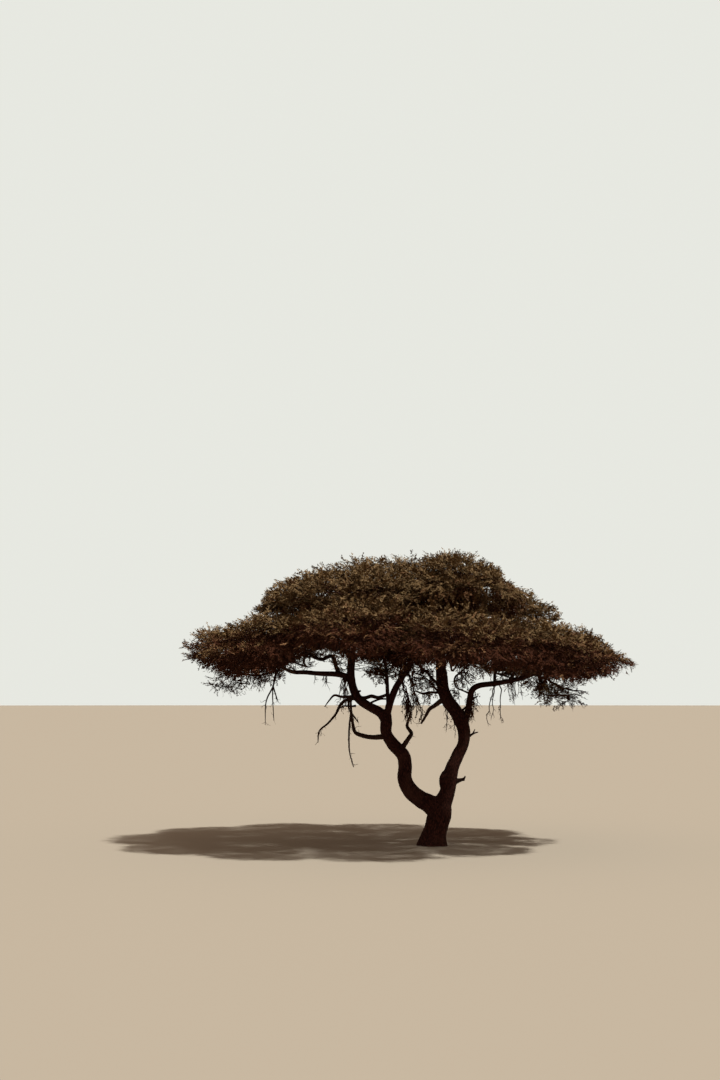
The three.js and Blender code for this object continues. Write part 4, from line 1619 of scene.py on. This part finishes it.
    def pieces(self, name: str, finishes: FoliageFinishes, node: str | None = None) -> list[Piece]:
        """Makes the two pieces.

        Args:
            name: what the leaves and twigs belong to.
            finishes: their materials.
            node: the CAD node that they stand for.

        Returns:
            The twigs and the leaves, riding on the tree.
        """
        made = [
            self.twigs.piece(f"twigs_{name}", finishes.twigs),
            self.leaves.piece(f"leaves_{name}", finishes.leaves),
        ]
        for piece, slot in zip(made, ("bark", "foliage"), strict=True):
            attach(piece, "root")
            if node:
                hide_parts(node)
        return made


@dataclass(kw_only=True)
class FoliageMass(Growth):
    """One mass of foliage grown on from its bough: stem, main twigs, twigs, branchlets and sprays."""

    mass: Mass
    crown: Crown
    stem_radii: tuple[float, float, float] = (0.027, 0.023, 0.019)
    twig_radii: Span = (0.015, 0.006)
    offshoot_radii: Span = (0.0075, 0.0035)
    bare_radii: Span = (0.004, 0.0018)
    bare_length: Span = (0.1, 0.3)
    overlap: float = 0.13
    valley_reach: float = 1.35
    valley_depth: float = 0.14
    fringe: float = 0.16
    inside_share: float = 0.26
    foot_gap: float = 0.09
    # The height in metres about which the painted light of the sprays turns: lighter above it, darker below.
    waist: float = 4.3

    def __post_init__(self) -> None:
        """Readies the numbers, and keeps the stations of the limbs that are near."""
        super().__post_init__()
        centres, reach = self.stations.centres, self.mass.reach.max() + 0.4
        near = np.linalg.norm(centres - self.mass.middle, axis=1) < reach
        away = np.linalg.norm(centres - self.mass.foot, axis=1) > self.foot_gap
        self.stations = self.stations.some(near & away)

    def fits(self, points: Array, depth: float | Array = 1.0) -> Array:
        """Tells which points keep to the mass's reach and cell, below the skyline and clear of limbs.

        Args:
            points: the points.
            depth: how far out of the mass they may lie, 1 on its surface.

        Returns:
            True or False for each point.
        """
        good = self.filled(points, depth)
        if self.mass.dense:
            good &= self.outline.above_underside(points)
        return good & self.crown.in_cell(self.mass, points, -self.overlap) & super().fits(points)

    def filled(self, points: Array, depth: float | Array) -> Array:
        """Tells which points lie within a depth of the mass, or under the dome in the valley beside it.

        Args:
            points: the points.
            depth: the depth, 1 on the surface of the mass.

        Returns:
            True or False for each point.
        """
        own = self.mass.depth(points) / self.mass.swell
        if not self.mass.dense:
            return own < depth
        valley = (own < self.valley_reach) & self.crown.under_dome(points, self.valley_depth)
        high = self.mass.shares(points)[..., 2] > self.mass.filled_from
        return (own < depth) | (valley & high)

    def stem(self) -> LimbCurve:
        """Lays the stem on from the bough's tip, as the source does.

        Returns:
            The stem.
        """
        mass = self.mass
        end = mass.place(np.array([0.3, 0.0, 0.1]))
        start = mass.foot - mass.entry * 0.02
        bend = mass.foot + mass.entry * float(np.linalg.norm(end - mass.foot)) * 0.35
        return LimbCurve([[*p, r] for p, r in zip((start, bend, end), self.stem_radii, strict=True)])

    def main_twigs(self, stem: LimbCurve) -> Array:
        """Grows main twigs off the stem in even directions.

        Args:
            stem: the stem.

        Returns:
            The points of each twig.
        """
        ways = even_directions(self.mass.twigs)
        starts = stem.at(0.45 + 0.27 * (ways[:, 0] + 1))
        reach = np.full(len(ways), 0.62)
        reach[(len(ways) - 1) // 2] = 0.86
        ends = self.mass.place(ways * reach[:, None])
        for _ in range(12):
            astray = ~self.fits(ends)
            ends[astray] = starts[astray] + (ends[astray] - starts[astray]) * 0.88
        paths = self.wander(starts, ends, 8, 0.05, 0.022)
        self.twigs.add_tapers(paths, self.twig_radii, 5)
        return paths

    def clump_places(self) -> tuple[Array, Array]:
        """Shares out clumps over the mass's surface and some inside.

        Returns:
            The middle of each clump, and the direction in which it grows.
        """
        ways = even_directions(self.habit.clumps)
        ways = unit(ways + self.rng.normal(0, 0.08, ways.shape))
        share = self.rng.uniform(0.9, 1.0, len(ways)) * self.mass.swell * self.valley_reach
        inside = self.rng.random(len(ways)) < self.inside_share
        share[inside] *= self.rng.uniform(0.4, 0.65, inside.sum())
        full = share / self.valley_reach
        for _ in range(30):
            spots = self.mass.place(ways * share[:, None])
            good = self.filled(spots, 1.0) & self.crown.in_cell(self.mass, spots, 0.0)
            share[~(good & self.outline.below_top(spots))] *= 0.95
        surface = self.mass.place(ways * share[:, None])
        grow = self.mass.outward(surface)
        flat = grow * [1, 1, 0]
        low = smooth_step(0.1, -0.6, grow[:, 2])[:, None]
        grow = unit(grow + UP * 0.42 * (1 - low) + (unit(flat) * 0.7 - UP * 0.15) * low)
        inset = self.habit.inset * self.rng.uniform(0.65, 1.4, len(ways))
        places = surface - grow * inset[:, None]
        walled = (share < 0.7 * full) & (grow[:, 2] < 0.4) & (self.rng.random(len(ways)) < 0.5)
        kept: list[int] = []
        for i in np.argsort(-share, kind="stable"):
            sparse = self.habit.spacing[1 if grow[i, 2] < 0 else 0]
            apart = all(np.linalg.norm(places[i] - places[j]) > sparse for j in kept)
            if apart and share[i] > 0.3 and not walled[i]:
                kept.append(int(i))
        return places[kept], grow[kept]

    def offshoots(self, paths: Array, places: Array) -> Array:
        """Runs a twig to each clump from the nearest of the main twigs.

        Args:
            paths: the main twigs.
            places: the clumps' middles.

        Returns:
            The points of each new twig.
        """
        nodes = paths[:, 1:-1].reshape(-1, 3)
        gaps = np.linalg.norm(places[:, None] - nodes[None], axis=2)
        outer = np.maximum(0, self.mass.depth(nodes)[None] - self.mass.depth(places)[:, None])
        higher = np.maximum(0, nodes[None, :, 2] - places[:, None, 2])
        starts = nodes[(gaps + 0.5 * outer + 0.6 * higher).argmin(1)]
        made = self.wander(starts, places, 6, 0.07, 0.03)
        self.twigs.add_tapers(made, self.offshoot_radii, 4)
        return made

    def facing(self, roots: Array) -> Array:
        """The way to which sprays lean besides up: out of the mass."""
        return self.mass.outward(roots)

    def light(self, roots: Array) -> Array:
        """Guesses how much in the light sprays are, for their painted light and shade: more so high in the
        mass and in the crown, and far out.

        Args:
            roots: where the sprays start.

        Returns:
            A number for each spray, from about -1 to 1.
        """
        shares = self.mass.shares(roots)
        high = roots[:, 2] - self.waist
        upper = high.clip(0, 0.45)
        far = np.linalg.norm(shares, axis=1)
        tall = np.where(high > 0, 0.12, 0.2) * high
        return (0.85 - 0.8 * upper) * shares[:, 2] + 0.4 * far - 0.22 + 0.5 * upper + tall

    def bare_twigs(self, shoots: Array, grow: Array) -> None:
        """Hangs short bare twigs under the mass.

        Args:
            shoots: the twigs to the clumps.
            grow: the direction in which each clump grows.
        """
        low = np.flatnonzero(grow[:, 2] < 0.15)
        if not len(low):
            return
        chosen = self.rng.choice(low, self.habit.bare_twigs)
        starts = shoots[chosen, self.rng.integers(2, shoots.shape[1], len(chosen))]
        long = self.rng.uniform(*self.bare_length, len(chosen))[:, None]
        ends = starts + long * unit(-UP + self.rng.normal(0, 0.45, starts.shape))
        good = self.fits(ends, 1.12)
        paths = self.wander(starts[good], ends[good], 5, 0, 0.06)
        self.twigs.add_tapers(paths, self.bare_radii, 3, BARE_TWIG)

    def build(self, finishes: FoliageFinishes) -> list[Piece]:
        """Grows the mass.

        Args:
            finishes: the leaves' and the twigs' materials.

        Returns:
            Its twigs and its leaves, riding on the tree.
        """
        stem = self.stem()
        shares = np.linspace(0, 1, 10)
        self.twigs.add(*tubes(stem.at(shares)[None], stem.radius_at(shares[:-1])[None], 7), LIVE_TWIG)
        paths = self.main_twigs(stem)
        places, grow = self.clump_places()
        shoots = self.offshoots(paths, places)
        fine, clump = self.branchlets(shoots, grow)
        self.sprays(fine, clump, grow)
        self.bare_twigs(shoots, grow)
        return self.pieces(self.mass.name, finishes, f"foliage_{self.mass.name}")


@dataclass(frozen=True)
class SprigPlan:
    """Leafy sprigs on a limb below the crown: where, how many, how long, which way and how far astray."""

    on: str
    shares: Span
    count: int
    length: Span
    way: Place
    stray: float = 0.4


SPRIGS = (
    SprigPlan("left_bough", (0.58, 0.75), 12, (0.3, 0.6), (0.9, -0.1, 0.0), 0.3),
    SprigPlan("left_bough", (0.56, 0.8), 9, (0.15, 0.32), (-0.8, 0, 0.3)),
    SprigPlan("left_upright", (0.42, 0.6), 10, (0.2, 0.45), (-0.8, -0.1, 0.3), 0.3),
    SprigPlan("left_upright", (0.3, 0.6), 9, (0.2, 0.4), (0.8, -0.2, 0.3)),
    SprigPlan("left_inner_bough", (0.4, 0.6), 10, (0.25, 0.5), (0.9, 0, -0.05)),
    SprigPlan("left_inner_bough", (0.38, 0.6), 7, (0.2, 0.4), (-0.8, 0, 0.3)),
    SprigPlan("centre_droop", (0.3, 1.0), 6, (0.15, 0.35), (0.1, -0.3, 0.2), 0.7),
    SprigPlan("middle_droop", (0.3, 1.0), 6, (0.15, 0.35), (-0.2, -0.1, 0.1), 0.7),
    SprigPlan("right_bough", (0.6, 0.74), 9, (0.2, 0.45), (-0.7, -0.1, 0.6)),
    SprigPlan("right_bough", (0.42, 0.6), 8, (0.25, 0.5), (0.9, 0, 0.1)),
    SprigPlan("right_long_bough", (0.48, 0.78), 12, (0.2, 0.45), (0.1, 0, 0.8)),
    SprigPlan("right_long_bough", (0.8, 0.98), 8, (0.2, 0.4), (0.2, 0, -0.5), 0.6),
    SprigPlan("left_long_bough", (0.35, 0.98), 12, (0.2, 0.4), (-0.1, 0, 0.7), 0.5),
    SprigPlan("left_long_bough", (0.85, 0.98), 4, (0.15, 0.3), (-0.3, 0, -0.5), 0.5),
    SprigPlan("left_fan_bough", (0.65, 0.95), 4, (0.15, 0.3), (-0.2, -0.2, 0.6), 0.5),
    SprigPlan("left_fan_twig", (0.1, 0.5), 5, (0.06, 0.16), (0.1, -0.1, -0.5), 0.6),
    SprigPlan("right_fan_bough", (0.4, 0.8), 8, (0.1, 0.28), (0.2, -0.1, -0.4), 0.6),
    SprigPlan("right_fan_bough", (0.85, 1.0), 7, (0.2, 0.4), (0.6, -0.1, -0.5), 0.4),
    SprigPlan("right_side_twig", (0.1, 0.9), 7, (0.1, 0.25), (0.1, 0, 0.5), 0.6),
    SprigPlan("left_curled_bough", (0.2, 0.85), 16, (0.12, 0.3), (-0.1, 0, 0.7), 0.6),
    SprigPlan("left_droop", (0.05, 1.0), 8, (0.2, 0.42), (-0.4, 0, -0.3), 0.6),
    SprigPlan("right_droop", (0.0, 1.0), 12, (0.25, 0.5), (0.2, 0, -0.7), 0.5),
)
FEEDER_SPRIGS = SprigPlan("", (0.12, 0.7), 6, (0.2, 0.42), (0, 0, 0.1), 0.8)


@dataclass(kw_only=True)
class Sprigs(Growth):
    """Leafy sprigs that grow straight from the limbs below the crown."""

    skeleton: Skeleton
    twig_radii: Span = (0.0065, 0.003)

    def shoots(self, plan: SprigPlan, curve: LimbCurve) -> tuple[Array, Array]:
        """The twigs of one plan.

        Args:
            plan: the plan.
            curve: the limb.

        Returns:
            The points of each twig, and the direction in which it grows.
        """
        share = self.rng.uniform(*plan.shares, plan.count)
        ways = unit(np.array(plan.way) + self.rng.normal(0, plan.stray, (plan.count, 3)))
        starts = curve.at(share)
        long = self.rng.uniform(*plan.length, plan.count) + curve.radius_at(share)
        return self.wander(starts, starts + ways * long[:, None], 6, 0.06, 0.05), ways

    def build(self, finishes: FoliageFinishes) -> list[Piece]:
        """Grows all the sprigs.

        Args:
            finishes: the leaves' and the twigs' materials.

        Returns:
            The twigs and the leaves, riding on the tree.
        """
        plans = [(plan, self.skeleton.curves[plan.on]) for plan in SPRIGS]
        plans += [(FEEDER_SPRIGS, self.skeleton.curves[feeder.name]) for feeder in FEEDERS]
        grown = [self.shoots(plan, curve) for plan, curve in plans]
        shoots, grow = (np.concatenate(part) for part in zip(*grown, strict=True))
        self.twigs.add_tapers(shoots, self.twig_radii, 4)
        fine, clump = self.branchlets(shoots, grow)
        self.sprays(fine, clump, grow)
        return self.pieces("sprigs", finishes)


@dataclass(frozen=True)
class Strands:
    """A bundle of thin bare strands that hangs from a limb: where, how many, how long and how they lean."""

    on: str
    shares: Span
    count: int
    length: Span
    lean: float = 0.0
    leafy: float = 0.0
    thickness: float = 1.0


STRANDS = (
    Strands("left_long_bough", (0.03, 0.2), 8, (0.45, 0.8), leafy=0.4, thickness=1.2),
    Strands("left_long_bough", (0.3, 0.5), 4, (0.12, 0.25)),
    Strands("left_inner_bough", (0.42, 0.55), 6, (0.4, 0.85), 0.1, 0.4),
    Strands("left_inner_bough", (0.38, 0.62), 9, (0.2, 0.5), 0.13, 0.5),
    Strands("left_beard_twig", (0.1, 0.5), 6, (0.3, 0.7), 0.08, 0.4),
    Strands("left_beard_twig", (0.5, 0.85), 16, (0.12, 0.32), 0.0, 0.7),
    Strands("right_beard_twig", (0.1, 0.85), 14, (0.1, 0.3), 0.0, 0.7),
    Strands("left_fan_bough", (0.3, 0.7), 4, (0.15, 0.35), -0.06, 0.5),
    Strands("right_fan_bough", (0.3, 0.85), 9, (0.15, 0.5), 0.1, 0.5),
    Strands("right_cross_twig", (0.5, 1.0), 4, (0.12, 0.3), 0.1, 0.4),
    Strands("right_long_bough", (0.14, 0.3), 18, (0.2, 0.48), 0.06, 0.7),
    Strands("right_long_bough", (0.49, 0.54), 3, (0.8, 1.0), 0.0, 0.3, 1.2),
    Strands("right_long_bough", (0.6, 0.76), 7, (0.25, 0.6), 0.05, 0.5),
    Strands("right_bough", (0.05, 0.16), 3, (0.4, 0.6), -0.12, 0.4),
    Strands("right_bough", (0.45, 0.75), 5, (0.2, 0.5), 0.15, 0.3),
    Strands("right_droop", (0.1, 1.0), 12, (0.2, 0.6), 0.12, 0.6),
    Strands("left_droop", (0.1, 1.0), 8, (0.12, 0.35), -0.05, 0.5),
)


def forks(paths: Array, each: int, length: Span, rng: Random) -> Array:
    """Short crooked side twigs that hang a little.

    Args:
        paths: the twigs that they grow on.
        each: how many grow on one.
        length: the least and the most of their length.
        rng: the run of numbers.

    Returns:
        Five points for each side twig.
    """
    which = np.repeat(np.arange(len(paths)), each)
    starts = paths[which, rng.integers(paths.shape[1] // 4, paths.shape[1] - 1, len(which))]
    ways = unit(-UP * 0.6 + rng.normal(0, 0.55, starts.shape))
    long = rng.uniform(*length, len(which))[:, None]
    share = np.linspace(0, 1, 5)[None, :, None]
    stray = rng.normal(0, 0.09, (len(which), 5, 3)) * share * long[:, None]
    return starts[:, None] + (ways * long)[:, None] * share + stray - UP * 0.15 * share**2 * long[:, None]


@dataclass
class HangingStrands:
    """All the bundles of strands as one piece, with a few dry leaves left on them."""

    skeleton: Skeleton
    seed: int = 77
    spray: SprayShape = field(default_factory=lambda: SprayShape(0.06, 2, 0.036, 0.5))
    radii: Span = (0.011, 0.005)
    fork_radii: Span = (0.006, 0.0035)
    fork_length: Span = (0.05, 0.17)
    forks_each: int = 5
    tints: tuple[int, ...] = (2, DARKEST, DRY, DRY)

    def build(self, finishes: FoliageFinishes) -> list[Piece]:
        """Hangs the bundles.

        Args:
            finishes: the leaves' and the twigs' materials.

        Returns:
            The strands and their leaves, riding on the tree.
        """
        rng = np.random.default_rng(self.seed)
        twigs, leaves = Pile(), Pile()
        for bundle in STRANDS:
            curve = self.skeleton.curves[bundle.on]
            share = rng.uniform(*bundle.shares, bundle.count)
            starts = curve.at(share) - UP * 0.3 * curve.radius_at(share)[:, None]
            long = rng.uniform(*bundle.length, bundle.count)
            paths = self.fall(starts, long, np.array([bundle.lean, 0.0, 0.0]), rng)
            twigs.add_tapers(paths, self.radii, 4, LIVE_TWIG, bundle.thickness)
            small = forks(paths, self.forks_each, self.fork_length, rng)
            twigs.add_tapers(small, self.fork_radii, 3, BARE_TWIG)
            tips = small[rng.random(len(small)) < bundle.leafy, 2]
            if len(tips):
                ways = unit(-UP + rng.normal(0, 0.4, tips.shape))
                faces_up = unit(rng.normal(0, 1, tips.shape))
                made = self.spray.leaves(tips, ways, faces_up, rng.uniform(0.7, 1.3, len(tips)), rng)
                leaves.add(made[0], made[1], np.repeat(rng.choice(self.tints, len(tips)), made[2]))
        pieces = [
            twigs.piece("hanging_strands", finishes.twigs),
            leaves.piece("hanging_dry_leaves", finishes.leaves),
        ]
        for piece, slot in zip(pieces, ("dead_wood", "foliage"), strict=True):
            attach(piece, "root")
        return pieces

    @staticmethod
    def fall(starts: Array, long: Array, lean: Array, rng: Random) -> Array:
        """Paths that leave a limb sideways, then hang and waver.

        Args:
            starts: where they start.
            long: how long each is.
            lean: how they drift sideways for each metre.
            rng: the run of numbers.

        Returns:
            Twelve points for each path.
        """
        steps = 11
        heading = unit(rng.normal(0, 1, starts.shape) * [1, 0.7, 0.1] + lean * 2)
        path = [starts]
        for step in range(steps):
            pull = 0.25 + 0.75 * min(1.0, step / 3)
            way = unit(heading * (1 - pull) - UP * pull + lean + rng.normal(0, 0.26, starts.shape))
            path.append(path[-1] + way * long[:, None] / steps)
        return np.stack(path, axis=1)


@dataclass
class SnagTwigs:
    """The short crooked twigs that are left on the dead snags."""

    skeleton: Skeleton
    seed: int = 131
    apart: float = 0.1
    length: Span = (0.06, 0.24)
    base: float = 0.006
    taper: Span = (1.0, 0.45)
    fork_radii: Span = (0.003, 0.002)
    fork_length: Span = (0.03, 0.1)

    def build(self, finishes: FoliageFinishes) -> Piece:
        """Grows the twigs.

        Args:
            finishes: the twigs' materials, and the leaves', which have no use here.

        Returns:
            The piece, riding on the tree.
        """
        rng = np.random.default_rng(self.seed)
        twigs = Pile()
        for curve in self.skeleton.of_group(Group.DEAD):
            count = max(3, int(curve.length / self.apart))
            share = np.sort(rng.uniform(0.12, 1.0, count))
            along = np.array([curve.direction_at(value) for value in share])
            ways = unit(along * 0.6 + rng.normal(0, 0.75, along.shape))
            long = rng.uniform(*self.length, count)[:, None] * (1 - 0.3 * share[:, None])
            steps = np.linspace(0, 1, 6)[None, :, None]
            stray = rng.normal(0, 0.07, (count, 6, 3)) * steps * long[:, None]
            paths = curve.at(share)[:, None] + (ways * long)[:, None] * steps + stray
            thick = np.minimum(self.base, 0.55 * curve.radius_at(share))
            twigs.add_tapers(paths, self.taper, 4, BARE_TWIG, thick[:, None])
            small = forks(paths, 1, self.fork_length, rng)
            twigs.add_tapers(small, self.fork_radii, 3, BARE_TWIG)
        piece = twigs.piece("snag_twiglets", finishes.twigs)
        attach(piece, "root")
        return piece


# The studio


@dataclass(frozen=True)
class Studio:
    """A plain pale floor, plain soft light, and the camera at the photograph's angle and distance."""

    focal_pixels: float = 1500
    frame_height: float = 1080
    foot_right_of_middle: float = 72
    horizon_below_middle: float = 158
    sky: Place = (0.80, 0.81, 0.755)
    fill_colour: Place = (0.95, 0.68, 0.50)
    fill: float = 0.54
    floor: Place = (0.25, 0.23, 0.195)
    floor_reach: float = 600
    sun_height: float = 63
    sun_turn: float = -32
    sun_strength: float = 6.3
    sun_softness: float = 3
    sun_colour: Place = (1.0, 0.95, 0.86)
    sensor_width: float = 36
    sight: float = 1500

    def build(self) -> None:
        """Makes the floor, the backdrop, the lights and the camera."""
        self.lay_floor()
        self.hang_backdrop()
        self.light()
        self.place_camera()
        bpy.context.scene.view_settings.view_transform = "Standard"

    def lay_floor(self) -> None:
        """Lays the floor."""
        shape = bmesh.new()
        bmesh.ops.create_grid(shape, x_segments=2, y_segments=2, size=self.floor_reach)
        floor = self.staged(shape, "floor", PlainFinish("floor_pale", self.floor, 0.95).material())
        floor.visible_diffuse = False

    def hang_backdrop(self) -> None:
        """Puts an even pale dome round everything. The camera sees it, and it lights and shades nothing."""
        made = MaterialNodes("backdrop_pale")
        glow = {"Emission Color": (*self.sky, 1), "Emission Strength": 1}
        made.fill(made.shader, {"Base Color": (0, 0, 0, 1), "Specular IOR Level": 0} | glow)
        shape = bmesh.new()
        bmesh.ops.create_uvsphere(shape, u_segments=64, v_segments=32, radius=0.98 * self.floor_reach)
        bmesh.ops.reverse_faces(shape, faces=shape.faces)
        dome = self.staged(shape, "backdrop", made.material)
        dome.visible_diffuse = dome.visible_glossy = dome.visible_transmission = dome.visible_shadow = False

    @staticmethod
    def staged(shape: BMesh, name: str, finish: Material) -> Piece:
        """Turns a bmesh into an object of the studio.

        Args:
            shape: the bmesh, which is freed.
            name: the piece's name.
            finish: its material.

        Returns:
            The piece.
        """
        mesh = bpy.data.meshes.new(name)
        shape.to_mesh(mesh)
        shape.free()
        mesh.materials.append(finish)
        made = in_scene(name, mesh)
        return made

    def light(self) -> None:
        """Sets the even soft fill and the high sun from the right, a little in front."""
        world = bpy.data.worlds.new("studio")
        world.use_nodes = True
        background = world.node_tree.nodes["Background"]
        background.inputs["Color"].default_value = (*self.fill_colour, 1)
        background.inputs["Strength"].default_value = self.fill
        bpy.context.scene.world = world
        lamp = bpy.data.lights.new("sun", "SUN")
        lamp.energy = self.sun_strength
        lamp.angle = math.radians(self.sun_softness)
        lamp.color = self.sun_colour
        height, turn = math.radians(self.sun_height), math.radians(self.sun_turn)
        level = math.cos(height)
        towards = Vector((level * math.cos(turn), level * math.sin(turn), math.sin(height)))
        sun = in_scene("sun", lamp)
        sun.rotation_mode = "QUATERNION"
        sun.rotation_quaternion = towards.to_track_quat("Z", "Y")
        sun.location = towards * 20

    def place_camera(self) -> None:
        """Places the camera."""
        data = bpy.data.cameras.new("camera")
        data.sensor_width = self.sensor_width
        data.lens = self.focal_pixels / self.frame_height * data.sensor_width
        data.clip_end = self.sight
        camera = in_scene("camera", data)
        camera.location = (0, -EYE_DISTANCE, EYE_HEIGHT)
        pitch = math.atan(self.horizon_below_middle / self.focal_pixels)
        turn = math.atan(self.foot_right_of_middle / self.focal_pixels)
        camera.rotation_euler = (math.pi / 2 + pitch, 0, turn)
        bpy.context.scene.camera = camera


def report(*pieces: Piece) -> int:
    """Logs each piece with its triangles.

    Args:
        pieces: the pieces.

    Returns:
        The triangles of all of them.
    """
    total = 0
    for piece in pieces:
        piece.data.calc_loop_triangles()
        count = len(piece.data.loop_triangles)
        log.info("%s: %d triangles", piece.name, count)
        total += count
    return total


MASS_SEED, MASS_SEED_STEP, SPRIG_SEED = 4001, 97, 311


def main() -> None:
    """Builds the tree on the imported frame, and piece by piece."""
    logging.basicConfig(level=logging.INFO, format="%(name)s %(message)s")
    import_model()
    crown = Crown()
    skeleton = Skeleton(crown.masses)
    finishes = FoliageFinishes()
    total = report(HeavyLimbs(skeleton).build())
    fine = BarkRelief(furrow_least=0.03, depth_share=0.08, lump_share=0.1, lump_size=0.12)
    slight = SweptLimbs(skeleton, Group.SLIGHT, "slighter_boughs", "bark", SLIGHT_BARK, fine)
    dead = SweptLimbs(skeleton, Group.DEAD, "dead_snags", "dead_wood", DEAD_WOOD, fine, sides=8, step=0.025)
    total += report(slight.build(), dead.build())
    stations = Stations.of(skeleton.curves.values(), CLEARANCE_STEP)
    common = {"outline": crown.outline, "stations": stations}
    loose = {"spray": LOOSE_SPRAY, "branchlet_radii": LOOSE_BRANCHLET_RADII}
    for number, mass in enumerate(crown.masses.values()):
        seed, habit = MASS_SEED + MASS_SEED_STEP * number, Density.of(mass).value
        given = common if mass.dense else common | loose
        grown = FoliageMass(mass=mass, crown=crown, seed=seed, habit=habit, **given)
        total += report(*grown.build(finishes))
    sprigs = Sprigs(skeleton=skeleton, seed=SPRIG_SEED, habit=Density.SPRIG.value, **common, **loose)
    total += report(*sprigs.build(finishes))
    total += report(*HangingStrands(skeleton).build(finishes))
    total += report(SnagTwigs(skeleton).build(finishes))
    log.info("all pieces: %d triangles", total)
    Studio().build()


if __name__ == "__main__":
    main()
